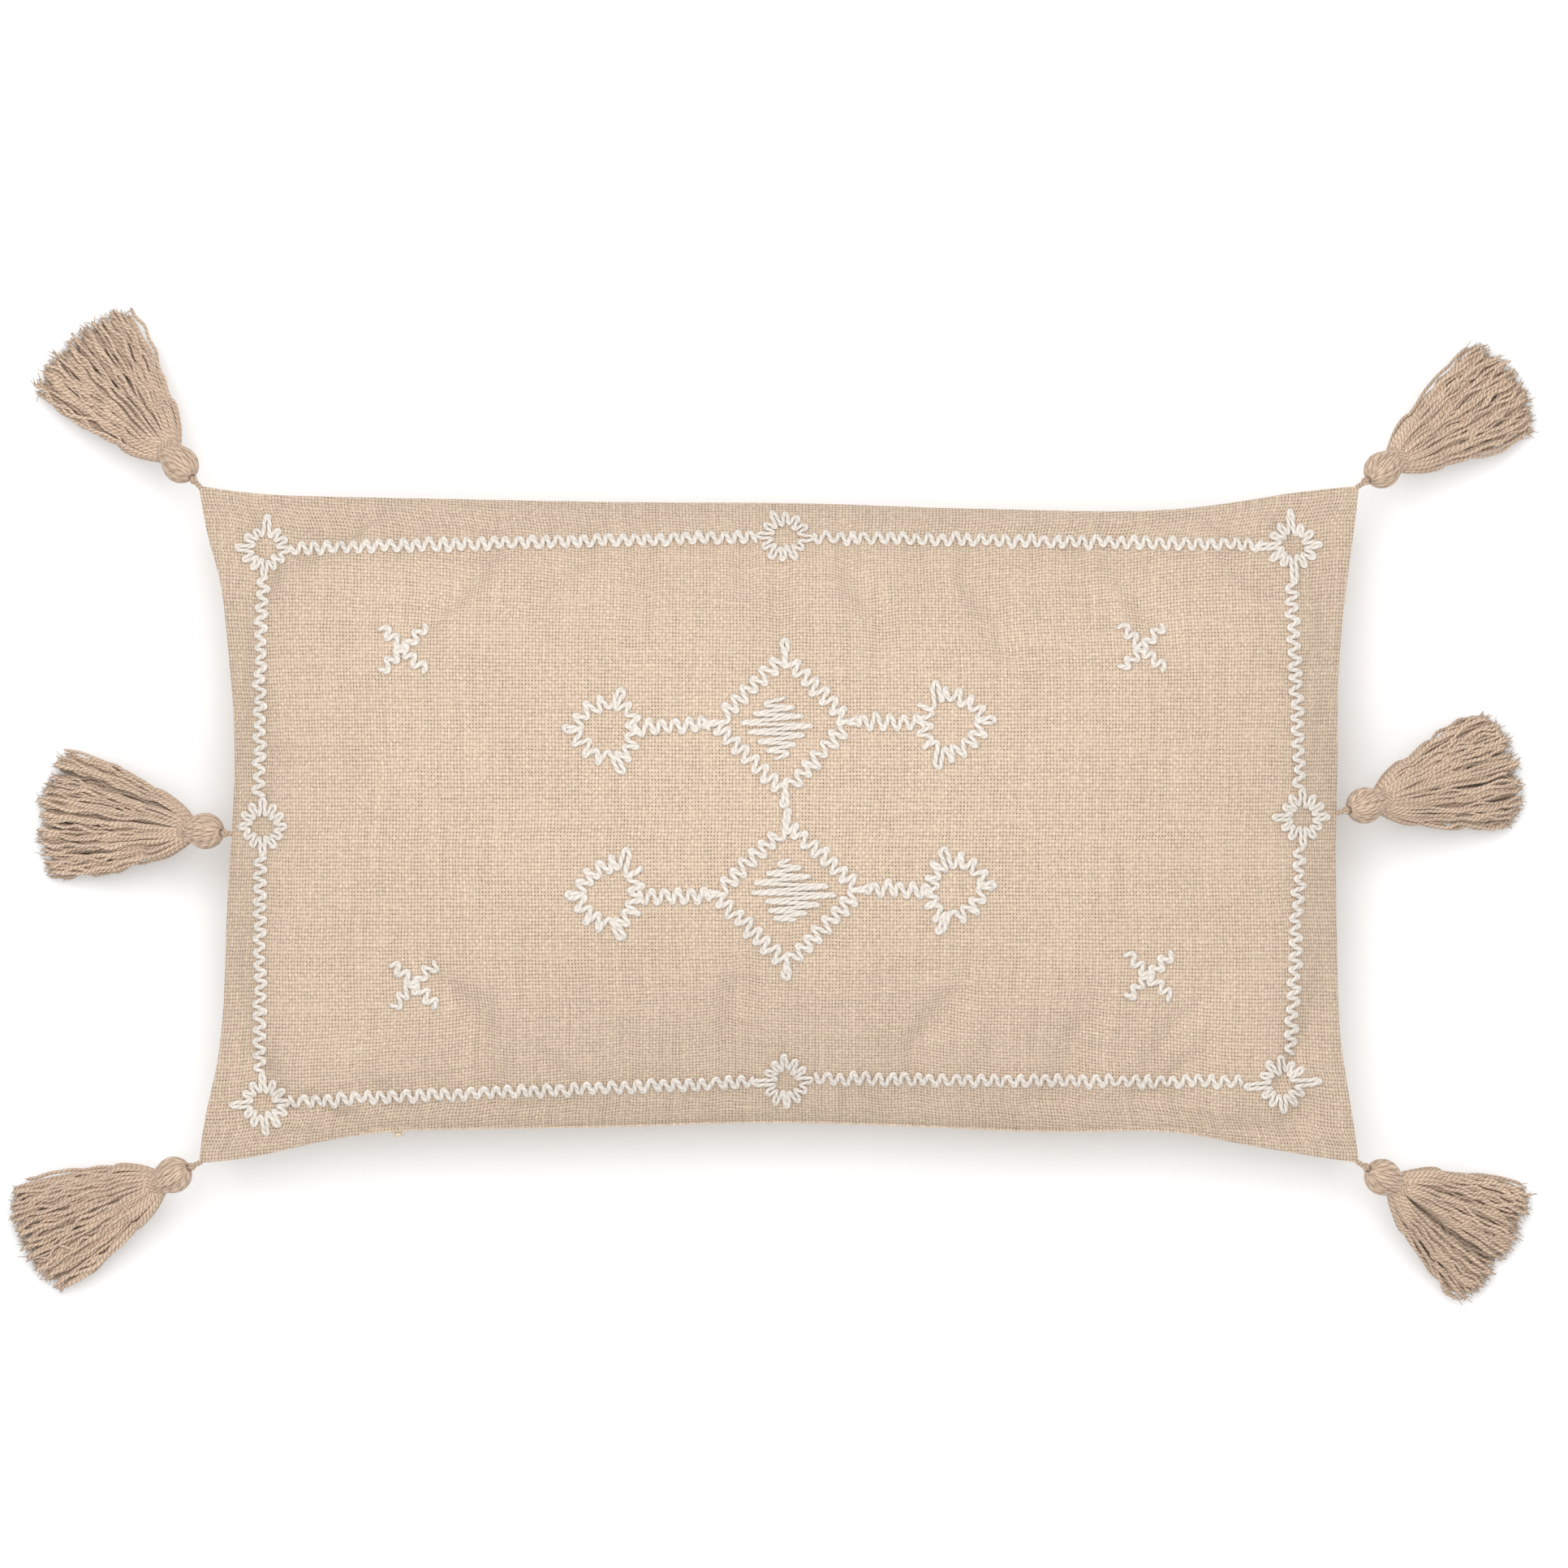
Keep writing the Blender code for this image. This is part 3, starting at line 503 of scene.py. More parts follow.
FIBRE = fibre_look()
NYLON = solid_look("coil_nylon", (0.62, 0.50, 0.37), 0.38, 5000.0, 0.00002)
ENAMEL = solid_look("zip_enamel", (0.60, 0.48, 0.35), 0.30, 3000.0, 0.00001, coat=0.4)
# Each yarn's second colour is the painted shade between its plies.
STITCH_YARN = yarn_look("stitch_yarn", (0.775, 0.725, 0.665), (0.58, 0.50, 0.43), 0.03)
TASSEL_YARN = yarn_look("tassel_yarn", (0.615, 0.468, 0.352), (0.270, 0.178, 0.120), 0.12)

# ---- Camera, lights and floor ----


def make_view():
    camera = bpy.data.cameras.new("camera")
    camera.sensor_width = SENSOR
    camera.lens = SENSOR * (CAMERA_HEIGHT - SEAM_HEIGHT) / VIEW_WIDTH
    camera.clip_end = 50.0
    bpy.context.scene.camera = linked("camera", camera)
    bpy.context.scene.camera.location = (*VIEW_CENTRE, CAMERA_HEIGHT)
    bpy.context.scene.view_settings.view_transform = "Standard"

    world = bpy.data.worlds.new("studio")
    bpy.context.scene.world = world
    world.use_nodes = True
    nodes, links = world.node_tree.nodes, world.node_tree.links
    background = nodes["Background"]
    background.inputs["Color"].default_value = (*SKY_COLOUR, 1.0)
    height = nodes.new("ShaderNodeSeparateXYZ")
    links.new(nodes.new("ShaderNodeTexCoord").outputs["Generated"], height.inputs[0])
    rise = nodes.new("ShaderNodeMapRange")
    rise.inputs["From Max"].default_value = SKY_RISE
    rise.inputs["To Min"].default_value, rise.inputs["To Max"].default_value = SKY_STRENGTHS
    links.new(height.outputs["Z"], rise.inputs["Value"])
    links.new(rise.outputs["Result"], background.inputs["Strength"])

    key = bpy.data.lights.new("key", "AREA")
    key.size = KEY_SIZE
    key.energy = KEY_POWER
    lamp = linked("key", key)
    lamp.location = KEY_PLACE
    lamp.rotation_mode = "QUATERNION"
    lamp.rotation_quaternion = Vector(KEY_PLACE).to_track_quat("Z", "Y")

    half = FLOOR_SIZE / 2
    corners = [(-half, -half), (half, -half), (half, half), (-half, half)]
    floor = mesh_object("floor", [(*c, -FLOOR_DROP) for c in corners], [(0, 1, 2, 3)])
    look = Look("floor", 0.7)
    speckle = look.noise(look.place(), 9.0)
    tone = look.fade(speckle, 0.2, 0.8, 0.995, 1.005)
    floor.data.materials.append(look.done(look.shaded(FLOOR_COLOUR, tone)))


# ---- The cover ----


def pull_in(side, places, half):
    knots = ((-half, 0.0), *PULL_IN[side], (half, 0.0))
    return natural_spline(knots, places)


def outline_point(u, v, inset=0.0):
    """The place in plan at shares u and v of the way from the middle to the sides."""
    across, along = u * HALF_LENGTH, v * HALF_WIDTH
    right = HALF_LENGTH - pull_in("right", along, HALF_WIDTH) - inset
    left = HALF_LENGTH - pull_in("left", along, HALF_WIDTH) - inset
    top = HALF_WIDTH - pull_in("top", across, HALF_LENGTH) - inset
    bottom = HALF_WIDTH - pull_in("bottom", across, HALF_LENGTH) - inset
    return u * np.where(u > 0, right, left), v * np.where(v > 0, top, bottom)


def seam_height(x, y):
    share = np.abs(x / HALF_LENGTH) * np.abs(y / HALF_WIDTH)
    return SEAM_HEIGHT - CORNER_DROOP * share**DROOP_POWER


def shares(cells):
    """Grid lines from -1 to 1, closer together towards the seam."""
    return np.sin(np.linspace(-1, 1, cells + 1) * CELL_BIAS) / math.sin(CELL_BIAS)


def side_points(side, cells, inset=0.0, clearance=0.0):
    """A grid of points (rows of y, columns of x) shaped into the front or back."""
    u, v = np.meshgrid(shares(cells[0]), shares(cells[1]))
    x, y = outline_point(u, v, inset)
    bulge = ((1 - u * u) * (1 - v * v)) ** CROWN_POWER
    crown = (FRONT_CROWN if side > 0 else BACK_CROWN) - clearance
    z = seam_height(x, y) + side * crown * bulge
    return np.stack([x, y, np.maximum(z, clearance)], -1)


def grid_faces(rows, columns, start=0, flip=False):
    j, i = np.meshgrid(np.arange(rows), np.arange(columns), indexing="ij")
    first = start + j * (columns + 1) + i
    quads = [first, first + 1, first + columns + 2, first + columns + 1]
    quads = np.stack(quads[::-1] if flip else quads, -1)
    return quads.reshape(-1, 4)


def swollen(front, back):
    """Both sides after cloth simulation with the seam held: how far each point moved."""
    rows, columns = front.shape[0] - 1, front.shape[1] - 1
    count = front.shape[0] * front.shape[1]
    vertices = np.concatenate([front.reshape(-1, 3), back.reshape(-1, 3)])
    on_seam = np.ones(front.shape[:2], bool)
    on_seam[1:-1, 1:-1] = False
    seam = np.flatnonzero(on_seam.ravel())
    faces = np.concatenate([grid_faces(rows, columns), grid_faces(rows, columns, count, True)])
    keep = np.arange(2 * count)
    keep[seam + count] = seam
    faces = keep[faces]
    used, renumbered = np.unique(faces, return_inverse=True)
    pad = mesh_object("simulated_pad", vertices[used], renumbered.reshape(-1, 4))
    held = pad.vertex_groups.new(name="held")
    held.add(np.flatnonzero(np.isin(used, seam)).tolist(), 1.0, "REPLACE")
    cloth = pad.modifiers.new("cloth", "CLOTH")
    settings = cloth.settings
    for title, value in CLOTH_SETTINGS.items():
        setattr(settings, title, value)
    settings.effector_weights.gravity = 0
    cloth.collision_settings.use_collision = False
    for number in range(1, SIM_FRAMES + 1):
        bpy.context.scene.frame_set(number)
    view = bpy.context.evaluated_depsgraph_get()
    result = np.zeros(len(used) * 3, np.float32)
    pad.evaluated_get(view).data.vertices.foreach_get("co", result)
    bpy.context.scene.frame_set(1)
    bpy.data.objects.remove(pad)
    moved = np.zeros_like(vertices)
    moved[used] = result.reshape(-1, 3) - vertices[used]
    reach = np.linalg.norm(moved, axis=1, keepdims=True)
    moved *= np.tanh(reach / MOST_MOVE) * MOST_MOVE / np.maximum(reach, 1e-9)
    return moved[:count].reshape(front.shape), moved[count:].reshape(front.shape)


def refined(grid, steps):
    """A grid of vectors with extra lines between, on smooth curves (Catmull-Rom)."""
    for axis in (0, 1):
        grid = np.moveaxis(grid, axis, 0)
        padded = np.concatenate([2 * grid[:1] - grid[1:2], grid, 2 * grid[-1:] - grid[-2:-1]])
        before, start, end, after = padded[:-3], padded[1:-2], padded[2:-1], padded[3:]
        lines = []
        for step in range(steps):
            t = step / steps
            lines.append(
                start
                + 0.5 * t * (end - before)
                + t * t * (before - 2.5 * start + 2 * end - 0.5 * after)
                + 0.5 * t**3 * (3 * (start - end) + after - before)
            )
        fine = np.stack(lines, 1).reshape(-1, *grid.shape[1:])
        grid = np.moveaxis(np.concatenate([fine, grid[-1:]]), 0, axis)
    return grid


def cloth_coordinates(grid):
    """Metres along the cloth from its middle, both ways, at each point of a side."""
    rows, columns = grid.shape[:2]
    result = np.zeros_like(grid)
    across = np.linalg.norm(np.diff(grid, axis=1), axis=2)
    reach = np.concatenate([np.zeros((rows, 1)), np.cumsum(across, axis=1)], 1)
    result[..., 0] = reach - reach[:, columns // 2, None]
    up = np.linalg.norm(np.diff(grid, axis=0), axis=2)
    reach = np.concatenate([np.zeros((1, columns)), np.cumsum(up, axis=0)])
    result[..., 1] = reach - reach[None, rows // 2]
    return result


def cushion_mesh(name, front, back, lips=False):
    """One closed cushion from its two sides, joined along the seam, with its cloth coordinates."""
    rows, columns = front.shape[0] - 1, front.shape[1] - 1
    count = front.shape[0] * front.shape[1]
    grids = []
    faces = [grid_faces(rows, columns), grid_faces(rows, columns, count, True)]
    for side, grid in ((1, front), (-1, back)):
        grids.append((grid.reshape(-1, 3), cloth_coordinates(grid).reshape(-1, 3) + (0, 0, side)))
    start = 2 * count
    if lips:
        edge_x = front[0, :, 0]
        open_part = np.flatnonzero(np.abs(edge_x) < ZIP_HALF_LENGTH + SLOT_RUN_IN + SLOT_FADE)
        for side, grid in ((1, front), (-1, back)):
            edge = grid[0, open_part]
            strip = [edge]
            share = (edge[:, 2] - SEAM_HEIGHT) * side / SLOT_LIFTS[side]
            for inwards, rise in LIP_ROWS:
                heights = SEAM_HEIGHT + side * (SLOT_LIFTS[side] + rise) * share
                strip.append(np.stack([edge[:, 0], edge[:, 1] + inwards, heights], 1))
            strip = np.stack(strip)
            cloth = cloth_coordinates(strip)
            grids.append((strip.reshape(-1, 3), cloth.reshape(-1, 3) - LIP_CLOTH))
            faces.append(grid_faces(len(strip) - 1, len(open_part) - 1, start, side > 0))
            start += strip.shape[0] * strip.shape[1]
    vertices = np.concatenate([points for points, _ in grids])
    cloth = np.concatenate([values for _, values in grids])
    faces = np.concatenate(faces)
    obj = mesh_object(name, vertices, faces, [("weave", "CORNER", cloth[faces.ravel()])])
    bm = bmesh.new()
    bm.from_mesh(obj.data)
    bmesh.ops.remove_doubles(bm, verts=bm.verts, dist=1e-6)
    for edge in bm.edges:
        edge.smooth = edge.calc_face_angle(0.0) < SEAM_FOLD
    bm.to_mesh(obj.data)
    bm.free()
    return obj


def zip_window(x):
    """1 along the zip, fading to 0 past its ends."""
    past = (np.abs(x) - ZIP_HALF_LENGTH - SLOT_RUN_IN) / SLOT_FADE
    return smooth_step(np.clip(1 - past, 0, 1))


def calmed(moves):
    """Simulated moves, faded out towards the seam so that the two sides never cross there."""
    u, v = np.meshgrid(shares(SIM_CELLS[0]), shares(SIM_CELLS[1]))
    inwards = np.clip((1 - np.maximum(np.abs(u), np.abs(v))) / CALM_SHARE, 0, 1)
    return moves * smooth_step(inwards)[..., None]


def make_cover():
    """The cover, and its two sides' points before the zip's slot is opened."""
    coarse = [side_points(side, SIM_CELLS) for side in (1, -1)]
    moves = [calmed(move) for move in swollen(*coarse)]
    coarse = [grid + move for grid, move in zip(coarse, moves)]
    sides = []
    for side, grid in zip((1, -1), coarse):
        fine = refined(grid, FINE_STEPS)
        fine[..., 2] = np.maximum(fine[..., 2], 0.0)
        window = zip_window(fine[0, :, 0])
        if side < 0:
            # The front laps over the pull, and the back's edge stays inside it.
            short = np.maximum(PULL_INSIDE + PULL_CLEARANCE - fine[0, :, 1], 0) * window
            start = fine[0, :, 1]
            inwards = (fine[..., 1] - start) / (BACK_LIP_ROWS * HALF_WIDTH)
            fine[..., 1] += short * np.clip(1 - inwards, 0, 1) ** 2
        fine[0, :, 2] += side * SLOT_LIFTS[side] * window
        sides.append(fine)
    cover = cushion_mesh("cover", *sides, lips=True)
    finish_piece(cover, COTTON, "cushion", "cotton_cover", "front_panel", "back_panel")
    return cover, coarse


# ---- Insert ----
CASING_INSET = 0.0165
CASING_GAP = 0.0042
FILLING_INSET = 0.0195
FILLING_GAP = 0.0066
INSERT_STEPS = 2  # cells of the insert to one of the simulated cover
TUFT_DEPTH = 0.0016
TUFT_WAVES = (6, 11, 19, 31)
GAP_START = 0.0060  # height over the seam at which a layer's gap is two thirds reached


def inner_side(side, cover_side, inset, gap):
    """A side of an inner layer: the cover's side, set in and lowered."""
    u, v = np.meshgrid(shares(SIM_CELLS[0]), shares(SIM_CELLS[1]))
    x, y = outline_point(u, v, inset)
    height = side * (cover_side[..., 2] - seam_height(cover_side[..., 0], cover_side[..., 1]))
    height = np.maximum(height - gap * (1 - np.exp(-height / GAP_START)), 0)
    return np.stack([x, y, seam_height(x, y) + side * height], -1)


def make_insert(cover_sides):
    sides = [
        refined(inner_side(side, grid, CASING_INSET, CASING_GAP), INSERT_STEPS)
        for side, grid in zip((1, -1), cover_sides)
    ]
    casing = cushion_mesh("insert_casing", *sides)
    finish_piece(casing, CASING, "cushion", "casing", "insert_front", "insert_back")

    rng = np.random.default_rng(5)
    sides = []
    for side, grid in zip((1, -1), cover_sides):
        inner = refined(inner_side(side, grid, FILLING_INSET, FILLING_GAP), INSERT_STEPS)
        u, v = np.meshgrid(np.linspace(-1, 1, inner.shape[1]), np.linspace(-1, 1, inner.shape[0]))
        tufts = np.zeros(u.shape)
        for waves in TUFT_WAVES:
            for _ in range(3):
                way, start = rng.uniform(0, math.pi), rng.uniform(0, 2 * math.pi)
                place = u * math.cos(way) * 1.7 + v * math.sin(way)
                tufts += np.sin(waves * place + start) / waves**0.5
        tufts = (tufts - tufts.max()) / (tufts.max() - tufts.min())
        depth = TUFT_DEPTH * tufts * np.minimum(1, (1 - np.maximum(np.abs(u), np.abs(v))) * 8)
        inner[..., 2] += side * depth
        sides.append(inner)
    filling = cushion_mesh("filling", *sides)
    finish_piece(filling, FIBRE, "cushion", "fibre", "fibre_fill")


# ---- Zip ----
TAPE_SINK = 0.0022  # how far the tape's far edge lies inside the CAD's
TAPE_THICKNESS = 0.0005
TAPE_CELLS = (160, 10)
COIL_WIRE = 0.00024
COIL_PITCH = 0.00125
COIL_POINTS = 10  # along each turn
COIL_CORE_POINTS = 40
SHARP_ANGLE = 0.6
STOP_BEVEL = 0.0004
METAL_BEVEL = 0.00012


def make_tape(side_name):
    """Woven tape from the coil to its far edge, thinner at both edges."""
    node = f"zip_tape_{side_name}"
    corners = np.array([vertex.co for vertex in frame["nodes"][node].data.vertices])
    near_y, far_y = corners[:, 1].min(), corners[:, 1].max()
    columns = np.linspace(corners[:, 0].min(), corners[:, 0].max(), TAPE_CELLS[0] + 1)
    edges = []
    for y in (near_y, far_y):
        row = corners[np.abs(corners[:, 1] - y) < 0.0012]
        places = np.unique(np.round(row[:, 0], 4))
        points = np.array([row[np.abs(row[:, 0] - x) < 0.0002].mean(0) for x in places])
        edges.append([np.interp(columns, places, points[:, axis]) for axis in (1, 2)])
    t = np.linspace(0, 1, TAPE_CELLS[1] + 1)[:, None]
    y = edges[0][0] + (edges[1][0] - edges[0][0]) * t
    z = edges[0][1] + (edges[1][1] - edges[0][1]) * t
    z -= np.sign(edges[1][1] - edges[0][1]) * TAPE_SINK * t
    middle = np.stack([columns + 0 * y, y, z], -1)
    normal = unit(np.cross(np.gradient(middle, axis=1), np.gradient(middle, axis=0)))
    inwards = t[..., None]
    thick = TAPE_THICKNESS / 2 * (1 - 0.55 * inwards**6) * (1 - 0.2 * (1 - inwards) ** 6)
    upper, lower = middle + normal * thick, middle - normal * thick
    rows = len(t) - 1
    count = (rows + 1) * len(columns)
    ring = np.arange(count).reshape(rows + 1, len(columns))
    rim = np.concatenate([ring[0], ring[1:, -1], ring[-1, -2::-1], ring[-2:0:-1, 0]])
    around = np.roll(rim, -1)
    sides = np.stack([rim, rim + count, around + count, around], 1)
    faces = np.concatenate(
        [grid_faces(rows, TAPE_CELLS[0], 0, True), grid_faces(rows, TAPE_CELLS[0], count), sides]
    )
    cloth = np.concatenate([cloth_coordinates(middle).reshape(-1, 3)] * 2)
    vertices = np.concatenate([upper.reshape(-1, 3), lower.reshape(-1, 3)])
    layers = [("weave", "CORNER", cloth[faces.ravel()])]
    tape = mesh_object(f"tape_{side_name}", vertices, faces, layers)
    bm = bmesh.new()
    bm.from_mesh(tape.data)
    bmesh.ops.recalc_face_normals(bm, faces=bm.faces)
    bm.to_mesh(tape.data)
    bm.free()
    finish_piece(tape, TAPE, "cushion", "zip_tape", node)


def make_coil(side_name):
    """One nylon wire wound round a cord along the tape's edge."""
    node = f"zip_coil_{side_name}"
    low, high = node_box(node)
    middle = (low + high) / 2
    reach = (high[2] - low[2]) / 2 - COIL_WIRE
    turns = (high[0] - low[0] - 2 * COIL_WIRE) / COIL_PITCH
    phase = 0.0 if side_name == "front" else math.pi
    t = np.linspace(0, 1, int(turns * COIL_POINTS))
    turn = 2 * math.pi * turns * t + phase
    x = low[0] + COIL_WIRE + (high[0] - low[0] - 2 * COIL_WIRE) * t
    path = np.stack([x, middle[1] + reach * np.cos(turn), middle[2] + reach * np.sin(turn)], 1)
    wire = tubes(path[None], (1, 0, 0), COIL_WIRE, 6, 0.004)
    core = np.tile(middle, (COIL_CORE_POINTS, 1))
    core[:, 0] = np.linspace(low[0], high[0], COIL_CORE_POINTS)
    cord = tubes(core[None], (0, 0, 1), reach * 0.55, 8, 0.0012, 0.1)
    coil = joined(f"coil_{side_name}", wire, cord)
    finish_piece(coil, NYLON, "cushion", "zip_coil", node)


def softened(name, node, bevel, body):
    """A metal part with its CAD shape and rounded edges."""
    source = frame["nodes"][node]
    mesh = source.data.copy()
    mesh.name = name
    obj = linked(name, mesh)
    obj.matrix_world = source.matrix_world.copy()
    bm = bmesh.new()
    bm.from_mesh(mesh)
    bmesh.ops.remove_doubles(bm, verts=bm.verts, dist=1e-6)
    bmesh.ops.dissolve_limit(bm, angle_limit=0.02, verts=bm.verts, edges=bm.edges)
    sharp = [edge for edge in bm.edges if edge.calc_face_angle(0.0) > SHARP_ANGLE]
    bmesh.ops.bevel(
        bm, geom=sharp, offset=bevel, segments=2, profile=0.5, affect="EDGES", clamp_overlap=True
    )
    bm.to_mesh(mesh)
    bm.free()
    mesh.shade_smooth()
    finish_piece(obj, ENAMEL, body, "zip_metal", node)


def make_zip():
    for side_name in ("front", "back"):
        make_tape(side_name)
        make_coil(side_name)
    for end in ("left", "right"):
        softened(f"stop_{end}", f"zip_stop_{end}", STOP_BEVEL, "cushion")
    softened("slider", "zip_slider", METAL_BEVEL, "zip_slider")
    softened("pull", "zip_pull", METAL_BEVEL, "zip_pull")


# ---- Yarn ----


def tubes(paths, up, radius, sides, pitch, lobes=0.0, flatness=1.0, taper=1.0, phase=0.0):
    """Yarns along paths of equal numbers of points, shape (yarns, points, 3).

    up: the way their sections' upright lies. radius, phase: one number or one to each yarn.
    pitch: length of a turn of the two plies. lobes: how far the plies stand out. taper: the
    radius along the yarn. Returns vertices, faces and layers, ready for joined().
    """
    yarns, count = paths.shape[:2]
    heading = unit(np.gradient(paths, axis=1))
    side = unit(np.cross(heading, np.broadcast_to(up, paths.shape)))
    upright = np.cross(side, heading)
    step = np.linalg.norm(np.diff(paths, axis=1), axis=2)
    along = np.concatenate([np.zeros((yarns, 1)), np.cumsum(step, axis=1)], 1)
    shape = (yarns, count, sides)
    turn = 2 * np.pi * np.arange(sides) / sides
    shift = np.broadcast_to(np.asarray(phase, float).reshape(-1, 1, 1) / 2, shape)
    twist = turn - 2 * np.pi * along[..., None] / pitch - shift
    reach = np.broadcast_to(np.asarray(radius, float).reshape(-1, 1, 1), shape)
    reach = reach * (1 + lobes * np.cos(2 * twist))
    reach = reach * np.broadcast_to(taper, (yarns, count))[..., None]
    points = (
        paths[:, :, None]
        + side[:, :, None] * (reach * np.cos(turn))[..., None]
        + upright[:, :, None] * (reach * np.sin(turn) * flatness)[..., None]
    )
    index = np.arange(yarns * count * sides).reshape(shape)
    after = np.roll(index, -1, axis=2)
    quads = np.stack([index[:, :-1], index[:, 1:], after[:, 1:], after[:, :-1]], -1)
    turns_along = np.broadcast_to(along[..., None] / pitch, shape)
    yarn = np.stack([np.cos(turn - shift), np.sin(turn - shift), turns_along], -1)
    strand = np.zeros((*shape, 3))
    strand[..., 0] = (np.arange(yarns) * GOLDEN_SHARE % 1.0)[:, None, None]
    faces = quads.reshape(-1, 4).tolist()
    faces += [tuple(ring) for ring in index[:, 0, :]]
    faces += [tuple(ring[::-1]) for ring in index[:, -1, :]]
    return points.reshape(-1, 3), faces, yarn.reshape(-1, 3), strand.reshape(-1, 3)


def joined(name, *parts):
    """One object from several yarn parts."""
    vertices, faces, start = [], [], 0
    for points, rings, _, _ in parts:
        vertices.append(points)
        faces += [tuple(int(index) + start for index in face) for face in rings]
        start += len(points)
    layers = [
        (title, "POINT", np.concatenate([part[index] for part in parts]))
        for index, title in ((2, "yarn"), (3, "strand"))
    ]
    return mesh_object(name, np.concatenate(vertices), faces, layers)


# ---- Embroidery ----

PETALS = 12
PETAL_START = 0.0050
PETAL_END = 0.0094
PETAL_HALF = 0.0008
# Each ring's centre, and the reach of its four longer petals (right, up, left, down).
CORNER_ROSETTES = {
    "top_left": ((-0.2165, 0.1162), (0.0095, 0.0128, 0.0116, 0.0110)),
    "top_right": ((0.2163, 0.1175), (0.0114, 0.0138, 0.0140, 0.0145)),
    "bottom_left": ((-0.2172, -0.1175), (0.0100, 0.0115, 0.0128, 0.0122)),
    "bottom_right": ((0.2118, -0.1092), (0.0150, 0.0108, 0.0145, 0.0108)),
}
MIDDLE_ROSETTES = {
    "top": ((0.0022, 0.1206), (0.0112, 0.0094, 0.0105, 0.0092)),
    "bottom": ((0.0028, -0.1074), (0.0105, 0.0104, 0.0125, 0.0102)),
    "left": ((-0.2170, -0.0008), (0.0092, 0.0110, 0.0094, 0.0115)),
    "right": ((0.2200, 0.0032), (0.0105, 0.0110, 0.0118, 0.0115)),
}
# The ends of each border's two runs.
BORDER_RUNS = {
    "top": (((-0.2065, 0.1160), (-0.0095, 0.1205)), ((0.0145, 0.1203), (0.2035, 0.1175))),
    "bottom": (((-0.2060, -0.1163), (-0.0105, -0.1075)), ((0.0150, -0.1062), (0.1955, -0.1082))),
    "left": (((-0.2175, 0.1045), (-0.2185, 0.0120)), ((-0.2180, -0.0135), (-0.2185, -0.1050))),
    "right": (((0.2155, 0.1020), (0.2190, 0.0150)), ((0.2188, -0.0095), (0.2150, -0.0965))),
}
BORDER_PERIOD = 0.0054
BORDER_SWING = 0.0022
# Corners of each diamond's line (right, top, left, bottom), and the ends of its corner loops.
DIAMONDS = {
    "upper": (
        ((0.0295, 0.0425), (0.0022, 0.0705), (-0.0270, 0.0420), (0.0022, 0.0135)),
        ((0.0328, 0.0429), (0.0025, 0.0757), (-0.0305, 0.0418), (0.0021, 0.0090)),
    ),
    "lower": (
        ((0.0340, -0.0270), (0.0033, 0.0002), (-0.0265, -0.0292), (0.0033, -0.0585)),
        ((0.0380, -0.0268), (0.0033, 0.0050), (-0.0295, -0.0289), (0.0031, -0.0627)),
    ),
}
RING_PERIOD = 0.0055
DIAMOND_SWING = 0.0030
LOOP_HALF = 0.0013  # half the width of a corner's loop, between its yarns' middles
SATIN_TURNS = {
    "upper": (
        (0.0030, 0.0530), (-0.0062, 0.0500), (0.0060, 0.0488), (-0.0108, 0.0462), (0.0098, 0.0452),
        (-0.0160, 0.0424), (0.0138, 0.0412), (-0.0130, 0.0386), (0.0108, 0.0374),
        (-0.0088, 0.0346), (0.0068, 0.0336), (-0.0050, 0.0310), (0.0040, 0.0300),
        (-0.0022, 0.0272),
    ),
    "lower": (
        (0.0052, -0.0142), (-0.0004, -0.0166), (0.0092, -0.0178), (-0.0052, -0.0204),
        (0.0130, -0.0214), (-0.0100, -0.0242), (0.0206, -0.0254), (-0.0112, -0.0282),
        (0.0236, -0.0290), (-0.0056, -0.0318), (0.0170, -0.0330), (-0.0040, -0.0356),
        (0.0118, -0.0366), (-0.0020, -0.0388), (0.0076, -0.0396),
    ),
}
# Ends of each arrowhead's three corner loops: the tip, the upper and the lower.
ARROWS = {
    "upper_left": ((-0.0893, 0.0397), (-0.0660, 0.0552), (-0.0660, 0.0228)),
    "upper_right": ((0.0896, 0.0435), (0.0652, 0.0580), (0.0662, 0.0250)),
    "lower_left": ((-0.0882, -0.0297), (-0.0635, -0.0116), (-0.0662, -0.0462)),
    "lower_right": ((0.0896, -0.0255), (0.0686, -0.0110), (0.0674, -0.0438)),
}
# The arrowhead's line: shares of the way from the tip to the upper and to the lower loop's end.
ARROW_LINE = (
    (0.067, 0.062), (0.407, -0.064), (0.653, -0.040), (0.834, 0.037), (0.848, 0.345),
    (0.643, 0.572), (0.385, 0.808), (0.060, 0.854), (-0.023, 0.701), (-0.054, 0.453),
)
ARROW_SWING = 0.0029
STEM_SWING = 0.0029
STEMS = {
    "upper_left": ((-0.0605, 0.0405), (-0.0290, 0.0420)),
    "upper_right": ((0.0605, 0.0430), (0.0325, 0.0430)),
    "lower_left": ((-0.0585, -0.0300), (-0.0285, -0.0295)),
    "lower_right": ((0.0640, -0.0272), (0.0372, -0.0270)),
}
CROSS_CENTRES = {
    "upper_left": (-0.1575, 0.0738),
    "upper_right": (0.1525, 0.0742),
    "lower_left": (-0.1530, -0.0670),
    "lower_right": (0.1552, -0.0632),
}
CROSS_REACH = 0.0095
CROSS_TURNS = 10
CROSS_SWING = 0.0021


